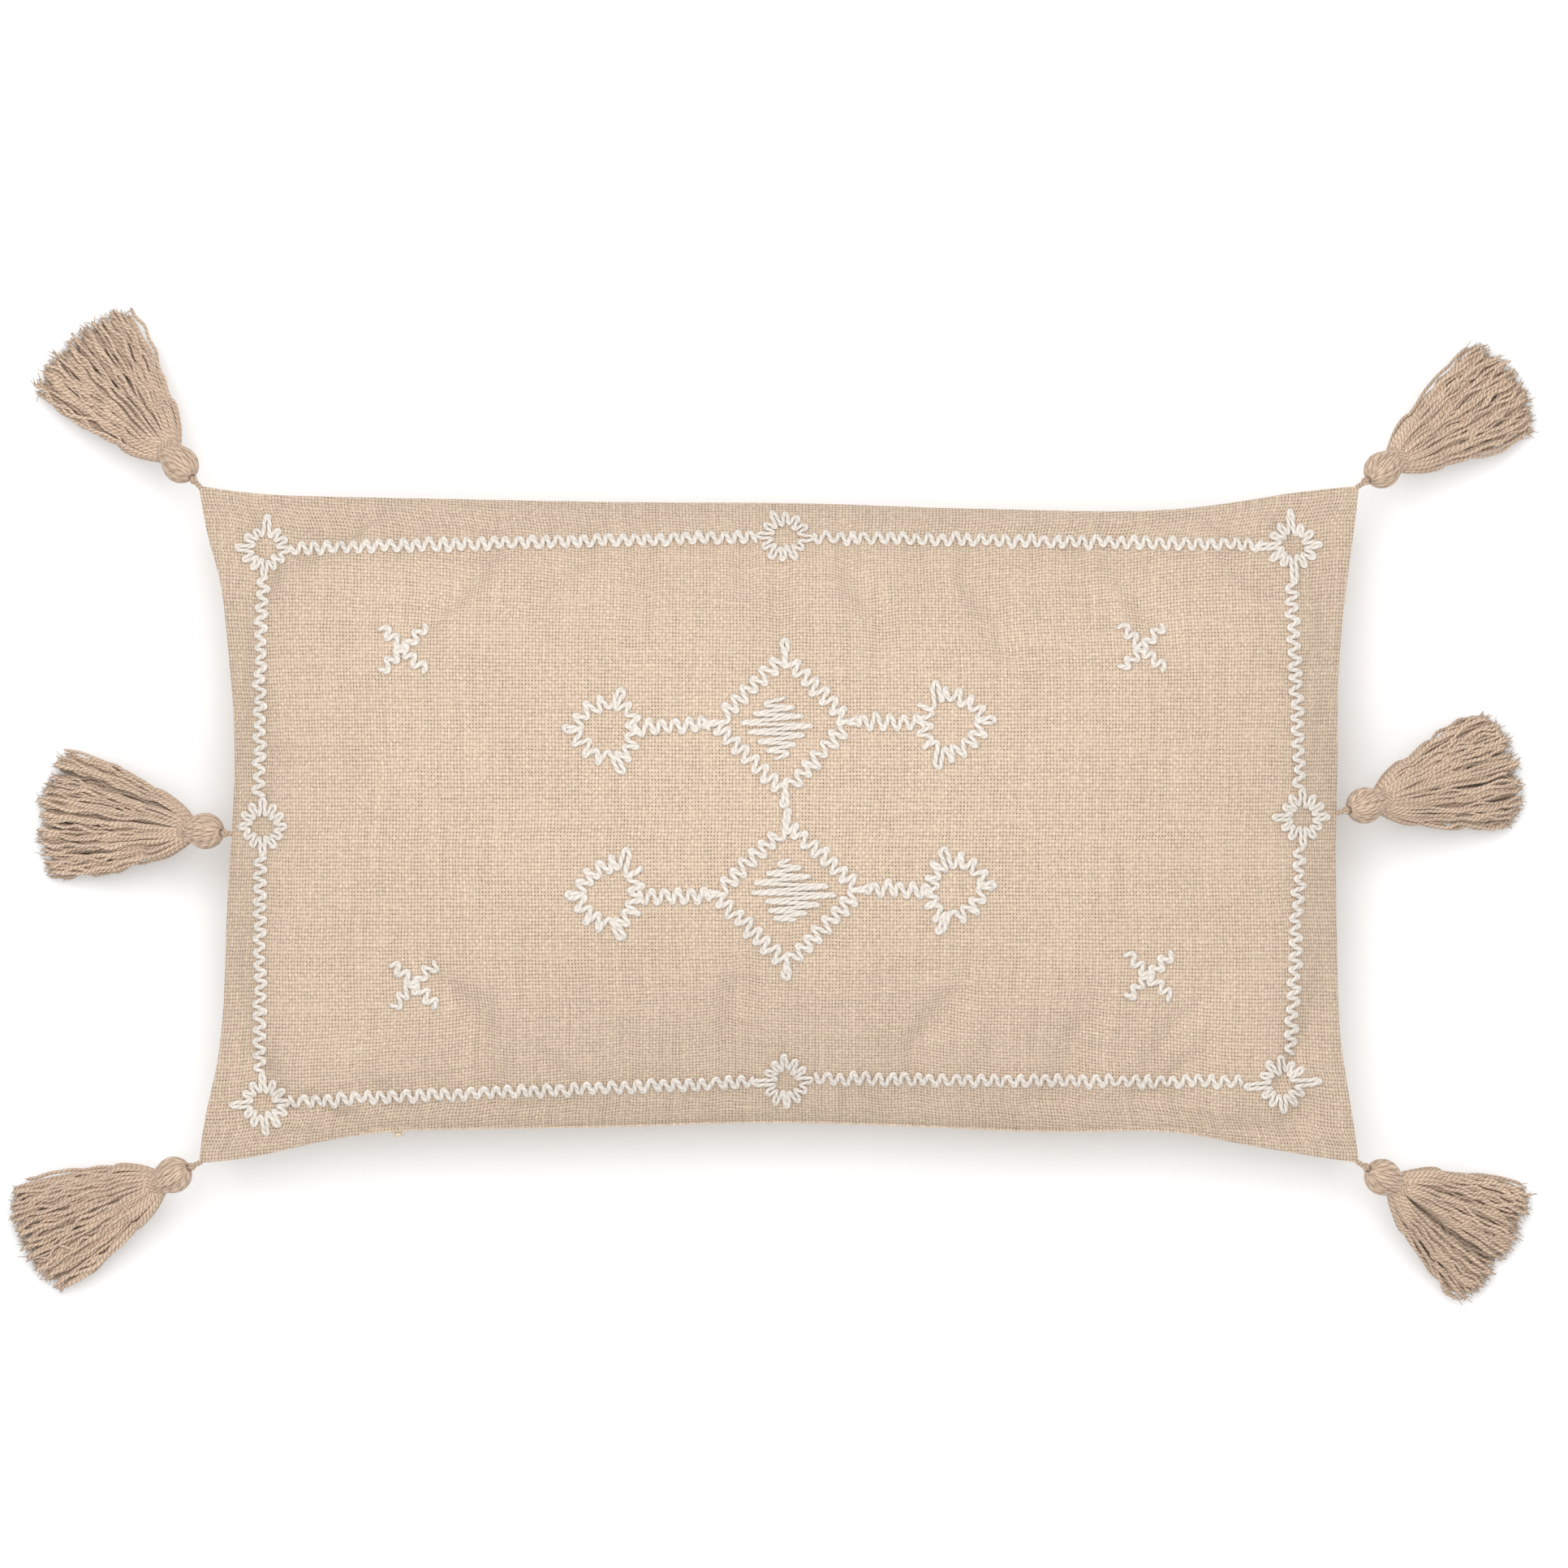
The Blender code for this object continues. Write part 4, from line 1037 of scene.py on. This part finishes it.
def zigzag(line, turns, swing, rng, first=1):
    """Turning points of a zigzag along a line, a little uneven as by hand."""
    spine = resampled(line, turns + 1)
    heading = unit(np.gradient(spine, axis=0))
    normal = np.stack([-heading[:, 1], heading[:, 0]], 1)
    way = first * (-1.0) ** np.arange(turns + 1)
    reach = swing * way * (1 + SWING_SPREAD * rng.standard_normal(turns + 1))
    slip = SLIP * np.linalg.norm(spine[1] - spine[0]) * rng.standard_normal(turns + 1)
    return spine + normal * reach[:, None] + heading * slip[:, None]


def rounded(turns):
    """An even, dense path through turning points, with a round bend at each."""
    turns = np.array(turns, float)
    padded = np.concatenate([2 * turns[:1] - turns[1:2], turns, 2 * turns[-1:] - turns[-2:-1]])
    slope = TURN_ROUNDNESS * (padded[2:] - padded[:-2])
    t = np.linspace(0, 1, STITCH_BEND_POINTS, endpoint=False)[None, :, None]
    start, end = turns[:-1, None], turns[1:, None]
    path = (
        (2 * t**3 - 3 * t**2 + 1) * start
        + (t**3 - 2 * t**2 + t) * slope[:-1, None]
        + (3 * t**2 - 2 * t**3) * end
        + (t**3 - t**2) * slope[1:, None]
    ).reshape(-1, turns.shape[1])
    path = np.concatenate([path, turns[-1:]])
    length = np.linalg.norm(np.diff(path, axis=0), axis=1).sum()
    return resampled(path, max(8, int(length / STITCH_STEP)))


def laid(path, tree):
    """A flat path laid on the cover, with the cover's normals under it."""
    points, normals = [], []
    for x, y in path:
        place, normal, _, _ = tree.ray_cast(Vector((x, y, 1.0)), Vector((0, 0, -1)))
        points.append(place)
        normals.append(normal)
    points, normals = np.array(points), np.array(normals)
    kernel = np.ones(NORMAL_SPAN) / NORMAL_SPAN
    for axis in range(3):
        ends = np.pad(normals[:, axis], NORMAL_SPAN // 2, mode="edge")
        normals[:, axis] = np.convolve(ends, kernel, mode="valid")
    normals = unit(normals)
    return points + normals * STITCH_RISE, normals


def stitched(name, node, lines, tree, rng):
    """One motif, standing for a CAD node, from its (turning points, yarn radius) lines."""
    parts = []
    for turns, yarn_radius in lines:
        points, normals = laid(rounded(turns), tree)
        radius = yarn_radius * (1 + RADIUS_SPREAD * rng.standard_normal())
        count = len(points)
        place = np.linspace(0, count * SWAY_RATE, count) + rng.uniform(0, 6)
        from_end = np.minimum(np.arange(count), np.arange(count)[::-1])
        taper = (1 + SWAY * np.sin(place)) * np.minimum(1.0, TIP_SHARE + from_end / 3)
        parts.append(
            tubes(
                points[None], normals[None], radius, STITCH_SIDES, STITCH_PITCH, STITCH_LOBES,
                STITCH_FLATNESS, taper,
            )
        )
    obj = joined(name, *parts)
    finish_piece(obj, STITCH_YARN, "cushion", "embroidery_yarn", node)


def rosette(centre, reaches, rng):
    """Turning points of a ring of petals with a longer one at each quarter."""
    turns = []
    tilt = rng.uniform(-0.08, 0.08)
    step = 2 * math.pi / PETALS
    for index in range(PETALS):
        angle = index * step + tilt
        quarter = round(angle / (math.pi / 2))
        reach = PETAL_END * (1 + 0.06 * rng.standard_normal())
        if abs(angle - quarter * math.pi / 2) < step * 0.4:
            reach = reaches[quarter % 4]
        inner = PETAL_START * (1 + 0.10 * rng.standard_normal())
        between = angle - step / 2
        turns.append((inner * math.cos(between), inner * math.sin(between)))
        cosine, sine = math.cos(angle), math.sin(angle)
        for half in (-PETAL_HALF, PETAL_HALF):
            turns.append((reach * cosine - half * sine, reach * sine + half * cosine))
    turns.append(turns[0])
    return [(centre[0] + x, centre[1] + y) for x, y in turns]


def ring_line(corners, ends, swing, rng):
    """A zigzag round a closed shape, whose nearest outer turns reach to the given ends."""
    corners = np.array(corners, float)
    middle = corners.mean(0)
    closed = np.concatenate([corners, corners[:1]])
    length = np.linalg.norm(np.diff(closed, axis=0), axis=1).sum()
    turns = 2 * int(round(length / RING_PERIOD))
    spine = resampled(closed, turns + 1)[:-1]
    heading = unit(np.roll(spine, -1, 0) - np.roll(spine, 1, 0))
    normal = np.stack([heading[:, 1], -heading[:, 0]], 1)
    normal *= np.sign(np.sum(normal * (spine - middle), 1))[:, None]
    way = (-1.0) ** np.arange(turns)
    reach = swing * way * (1 + RING_SWING_SPREAD * rng.standard_normal(turns))
    slip = RING_SLIP * length / turns * rng.standard_normal(turns)
    points = spine + normal * reach[:, None] + heading * slip[:, None]
    reached = {}
    for end in ends:
        reached[2 * np.linalg.norm(points[::2] - end, axis=1).argmin()] = np.array(end)
    line = []
    for index, point in enumerate(points):
        if index in reached:
            across = heading[index] * LOOP_HALF
            line += [reached[index] - across, reached[index] + across]
        else:
            line.append(point)
    return np.array(line + line[:1])


def make_embroidery(cover):
    mesh = cover.data
    tree = BVHTree.FromPolygons(
        [vertex.co for vertex in mesh.vertices], [tuple(face.vertices) for face in mesh.polygons]
    )
    rng = np.random.default_rng(11)
    for name, (centre, reaches) in CORNER_ROSETTES.items():
        ring = (rosette(centre, reaches, rng), PETAL_RADIUS)
        stitched(f"yarn_rosette_{name}", f"rosette_{name}", [ring], tree, rng)
    for name, (centre, reaches) in MIDDLE_ROSETTES.items():
        lines = [(rosette(centre, reaches, rng), PETAL_RADIUS)]
        for start, end in BORDER_RUNS[name]:
            length = math.dist(start, end)
            turns = int(round(2 * length / BORDER_PERIOD))
            lines.append((zigzag((start, end), turns, BORDER_SWING, rng), STITCH_RADIUS))
        stitched(f"yarn_border_{name}", f"border_{name}", lines, tree, rng)
    for name, (corners, ends) in DIAMONDS.items():
        line = ring_line(corners, ends, DIAMOND_SWING, rng)
        stitched(f"yarn_diamond_{name}", f"diamond_{name}", [(line, STITCH_RADIUS)], tree, rng)
        filling = (SATIN_TURNS[name], SATIN_RADIUS)
        stitched(f"yarn_satin_{name}", f"satin_{name}", [filling], tree, rng)
    for name, ends in ARROWS.items():
        tip, upper, lower = (np.array(end) for end in ends)
        corners = tip + np.array(ARROW_LINE) @ np.stack([upper - tip, lower - tip])
        outline = ring_line(corners, ends, ARROW_SWING, rng)
        start, end = STEMS[name]
        turns = int(round(2 * math.dist(start, end) / RING_PERIOD))
        stem = zigzag((start, end), turns, STEM_SWING, rng)
        lines = [(outline, STITCH_RADIUS), (stem, STITCH_RADIUS)]
        stitched(f"yarn_arrow_{name}", f"arrow_{name}", lines, tree, rng)
    for name, (x, y) in CROSS_CENTRES.items():
        lines = []
        for way in (1, -1):
            rise = way * CROSS_REACH
            ends = ((x - CROSS_REACH, y - rise), (x + CROSS_REACH, y + rise))
            lines.append((zigzag(ends, CROSS_TURNS, CROSS_SWING, rng, way), STITCH_RADIUS))
        stitched(f"yarn_cross_{name}", f"cross_{name}", lines, tree, rng)


# ---- Tassels ----
TASSEL_NAMES = (
    "top_left", "top_right", "middle_left", "middle_right", "bottom_left", "bottom_right"
)
STRANDS = 240
STRAND_RADIUS = 0.00070
STRAND_POINTS = 56
STRAND_PITCH = 0.0048  # length of one turn of the two plies
STRAND_TIP = (1.05, 0.9, 0.5)  # shares of the radius at the last three points
SKIRT_BELL = 0.80  # how much more than evenly the skirt widens below its neck
CLUMPS = 15
CLUMP_PULL = 0.52  # share of the way that the upper strands are drawn to their clump
END_HEIGHT = 0.0062  # how far the strands' ends lie above and below the skirt's middle
LONGEST = 1.05  # shares of the CAD skirt's length: the longest strand,
SHORTER = 0.042  # how much shorter others are,
SIDE_SHORTER = 0.10  # and how much shorter those at the sides are
NECK_BULGE = 0.0022
BULGE_LENGTH = 0.30  # share of the strands' length
WAVES = (1.3, 2.6, 5.2)  # along a strand
WAVE_SIZES = ((0, 0.0009), (1, 0.0006))  # across the skirt and out of it
LOWEST = 1.4 * STRAND_RADIUS + 0.0002  # height of a resting strand's middle
LIFT = 0.0020  # height over that under which strands stop sinking evenly
FRAY_HAIRS = 3  # to each strand
FRAY_RADIUS = 0.00030
FRAY_LENGTHS = (0.0018, 0.0042)
FRAY_SPREAD = 0.38
FRAY_BEND = 0.0010
FRAY_LOWEST = 0.0005
HEAD_TOP = 0.0020
HEAD_LENGTH = 0.0155
HEAD_RADIUS = 0.0077
HEAD_END_RADIUS = 0.0041
HEAD_WRAPS = 36
HEAD_POINTS = 26
WRAP_RADIUS = 0.00080
WRAP_SINK = 0.0006  # how far the wraps' middles lie inside the head's profile
STALK_RADIUS = 0.00085
NECK_RADIUS = 0.0047
BINDING_TOP = 0.0178
BINDING_LENGTH = 0.0036
BINDING_TURNS = 3
BINDING_YARN = 0.00062  # half the height of a turn
WINDING_RADIUS = 0.00068
LOOP_ROOT = 0.0022  # how far the loop's cord goes in from its swivel
CORD_RADIUS = 0.00105
CORD_PITCH = 0.0030
KNOT_RADIUS = 0.00066
KNOT_SIZE = 0.00042
KNOT_DEPTH = 0.0007


class Hang:
    """Where a tassel hangs: its hinge, the ways down it, across it and out of it, and its size."""

    def __init__(self, name):
        joint = JOINTS[f"swing_{name}"]
        self.name = name
        self.hinge = np.array(joint["pos_m"], float)
        hinge_way = np.array(joint["axis"], float)
        self.down = unit(node_centre(f"tassel_binding_{name}") - self.hinge)
        self.across = unit(-hinge_way)
        self.out = np.cross(self.down, self.across)
        skirt = frame["nodes"][f"tassel_skirt_{name}"].data.vertices
        points = np.array([vertex.co for vertex in skirt]) - self.hinge
        self.length = (points @ self.down).max()
        self.half_width = np.abs(points @ self.across).max()

    def world(self, local):
        """From (across, out, down) to the frame."""
        return self.hinge + local @ np.stack([self.across, self.out, self.down])

    def piece(self, kind, parts, body="tassel"):
        obj = joined(f"yarn_{kind}_{self.name}", *parts)
        node = f"tassel_{kind}_{self.name}"
        finish_piece(obj, TASSEL_YARN, f"{body}_{self.name}", "tassel_yarn", node)


def make_skirt(hang, rng):
    """Cut yarns that fan out from the neck and lie down on the surface."""
    number = np.arange(STRANDS)
    ring = np.sqrt((number + 0.5) / STRANDS)
    angle = number * GOLDEN_ANGLE
    neck = np.stack([ring * np.cos(angle), ring * np.sin(angle)], 1)
    neck *= NECK_RADIUS - STRAND_RADIUS
    across, out = neck.T / NECK_RADIUS
    clumps = rng.uniform(-1, 1, CLUMPS)
    nearest = clumps[np.abs(across[:, None] - clumps).argmin(1)]
    gathered = np.clip(0.5 + 1.5 * out, 0, 1)  # only the upper strands clump
    spread = np.sign(across) * np.abs(across) ** 0.82
    spread += CLUMP_PULL * gathered * (nearest - across) + 0.05 * rng.standard_normal(STRANDS)
    spread = np.clip(spread, -1.03, 1.03)
    end_out = out * END_HEIGHT + 0.0010 * rng.standard_normal(STRANDS)
    length = hang.length * (LONGEST - SHORTER * np.abs(rng.standard_normal(STRANDS)))
    length -= spread**2 * SIDE_SHORTER * hang.length
    start = BINDING_TOP - 0.0008
    t = np.linspace(0, 1, STRAND_POINTS)
    fan = (t + SKIRT_BELL * t * (1 - t))[:, None]
    ends = np.stack([spread * hang.half_width, end_out], 1)
    bulge = NECK_BULGE * np.sin(np.pi * np.clip(t / BULGE_LENGTH, 0, 1)) ** 0.5 * ring[:, None]
    local = np.zeros((STRANDS, STRAND_POINTS, 3))
    local[..., :2] = neck[:, None] + (ends - neck)[:, None] * fan
    local[..., :2] += unit(neck)[:, None] * bulge[..., None]
    local[..., 2] = start + (length[:, None] - start) * t
    grow = np.clip((t - 0.06) / 0.5, 0, 1)
    for axis, size in WAVE_SIZES:
        for waves in WAVES:
            swing = size * rng.standard_normal((STRANDS, 1)) / waves**0.5
            place = t + rng.uniform(0, 1, (STRANDS, 1))
            local[..., axis] += swing * grow * np.sin(2 * np.pi * waves * place)
    paths = hang.world(local)
    above = paths[..., 2] - LOWEST
    sunk = LIFT * np.exp(np.minimum(above / LIFT - 1, 0))
    paths[..., 2] = LOWEST + np.where(above > LIFT, above, sunk)
    radius = STRAND_RADIUS * (1 + 0.10 * rng.standard_normal(STRANDS))
    taper = np.ones(STRAND_POINTS)
    taper[-3:] = STRAND_TIP
    phase = rng.uniform(0, 6, STRANDS)
    strands = tubes(paths, hang.out, radius, 6, STRAND_PITCH, 0.10, taper=taper, phase=phase)

    tip = np.repeat(paths[:, -3], FRAY_HAIRS, 0)
    way = np.repeat(unit(paths[:, -1] - paths[:, -4]), FRAY_HAIRS, 0)
    way = unit(way + FRAY_SPREAD * rng.standard_normal(way.shape))
    reach = rng.uniform(*FRAY_LENGTHS, (len(tip), 1, 1))
    bend = FRAY_BEND * rng.standard_normal((len(tip), 1, 3))
    t = np.linspace(0, 1, 5)[:, None]
    hairs = tip[:, None] + way[:, None] * reach * t + bend * t**2
    hairs[..., 2] = np.maximum(hairs[..., 2], FRAY_LOWEST)
    frays = tubes(hairs, hang.out, FRAY_RADIUS, 4, STRAND_PITCH, taper=np.linspace(1, 0.4, 5))
    hang.piece("skirt", [strands, frays])


def head_radius(depth):
    """The head's profile: nearly a ball, cut off where the neck is bound."""
    past = (depth - HEAD_TOP) / (HEAD_LENGTH / 2) - 1  # the middle, in half lengths
    ball = HEAD_RADIUS * np.sqrt(np.clip(1 - past**2, 0, 1))
    return ball + HEAD_END_RADIUS * np.clip(past, 0, 1) ** 5


def turned(hang, radius, angle, depth):
    """Points round the tassel's middle line, in the frame."""
    across, out, down = np.broadcast_arrays(radius * np.cos(angle), radius * np.sin(angle), depth)
    return hang.world(np.stack([across, out, down], -1))


def make_head(hang, rng):
    """Yarns laid side by side over the ball, from the loop down into the binding."""
    t = np.linspace(0, 1, HEAD_POINTS)
    angle = 2 * np.pi * np.arange(HEAD_WRAPS)[:, None] / HEAD_WRAPS
    angle = angle + 0.04 * rng.standard_normal((HEAD_WRAPS, 1)) + 0.15 * t
    depth = HEAD_TOP + HEAD_LENGTH * (1 - np.cos(np.pi * (0.03 + 0.97 * t))) / 2
    radius = np.maximum(head_radius(depth) - WRAP_SINK, 0.0011)
    paths = turned(hang, radius, angle, depth)
    outward = unit(paths - turned(hang, 0.0, angle, depth))
    taper = 0.55 + 0.45 * np.clip(radius / 0.005, 0, 1)
    phase = rng.uniform(0, 6, HEAD_WRAPS)
    wraps = tubes(paths, outward, WRAP_RADIUS, 6, 0.0090, 0.05, 0.8, taper, phase)
    depth = np.linspace(HEAD_TOP + 0.0004, HEAD_TOP + HEAD_LENGTH, 14)
    radius = np.maximum(head_radius(depth) - 0.0007, 0.0004)
    middle = turned(hang, 0.0, 0.0, depth)[None]
    core = tubes(middle, hang.out, 1.0, 20, STRAND_PITCH, taper=radius)
    middle = turned(hang, 0.0, 0.0, np.linspace(0.0002, HEAD_TOP + 0.0020, 8))[None]
    stalk = tubes(middle, hang.out, STALK_RADIUS, 8, CORD_PITCH, 0.2)
    hang.piece("head", [wraps, core, stalk])


def make_binding(hang):
    """A yarn wound round the neck, each turn beside the last."""
    t = np.linspace(0, 1, 30 * BINDING_TURNS)
    angle = 2 * np.pi * BINDING_TURNS * t
    depth = BINDING_TOP + BINDING_YARN + (BINDING_LENGTH - 2 * BINDING_YARN) * t
    paths = turned(hang, NECK_RADIUS + 0.0003 + BINDING_YARN, angle, depth)
    outward = unit(paths - turned(hang, 0.0, angle, depth))
    winding = tubes(paths[None], outward[None], WINDING_RADIUS, 8, 0.0036, 0.12)
    hang.piece("binding", [winding])


def make_loop(hang):
    """The twisted cord out of the seam, and its knot."""
    swivel = np.array(JOINTS[f"swivel_{hang.name}"]["pos_m"], float)
    way = unit(hang.hinge - swivel)
    root = swivel - way * LOOP_ROOT
    cord = root + (hang.hinge - root) * np.linspace(0, 1, 12)[:, None]
    turn = np.linspace(0, 2 * np.pi, 50)
    knot = (
        hang.hinge
        + np.outer(np.sin(turn) + 2 * np.sin(2 * turn), np.cross(way, UP)) * KNOT_SIZE
        + np.outer(np.cos(turn) - 2 * np.cos(2 * turn), UP) * KNOT_SIZE
        + np.outer(np.sin(3 * turn), way) * KNOT_DEPTH
    )
    cord = tubes(cord[None], UP, CORD_RADIUS, 10, CORD_PITCH, 0.22)
    knot = tubes(knot[None], way, KNOT_RADIUS, 8, CORD_PITCH, 0.1)
    hang.piece("loop", [cord, knot], "tassel_loop")


def make_tassels():
    for index, name in enumerate(TASSEL_NAMES):
        rng = np.random.default_rng(100 + index)
        hang = Hang(name)
        make_loop(hang)
        make_head(hang, rng)
        make_binding(hang)
        make_skirt(hang, rng)


# ---- Everything, in order ----
make_view()
COVER, COVER_SIDES = make_cover()
make_insert(COVER_SIDES)
make_zip()
make_embroidery(COVER)
make_tassels()

bpy.context.view_layer.update()
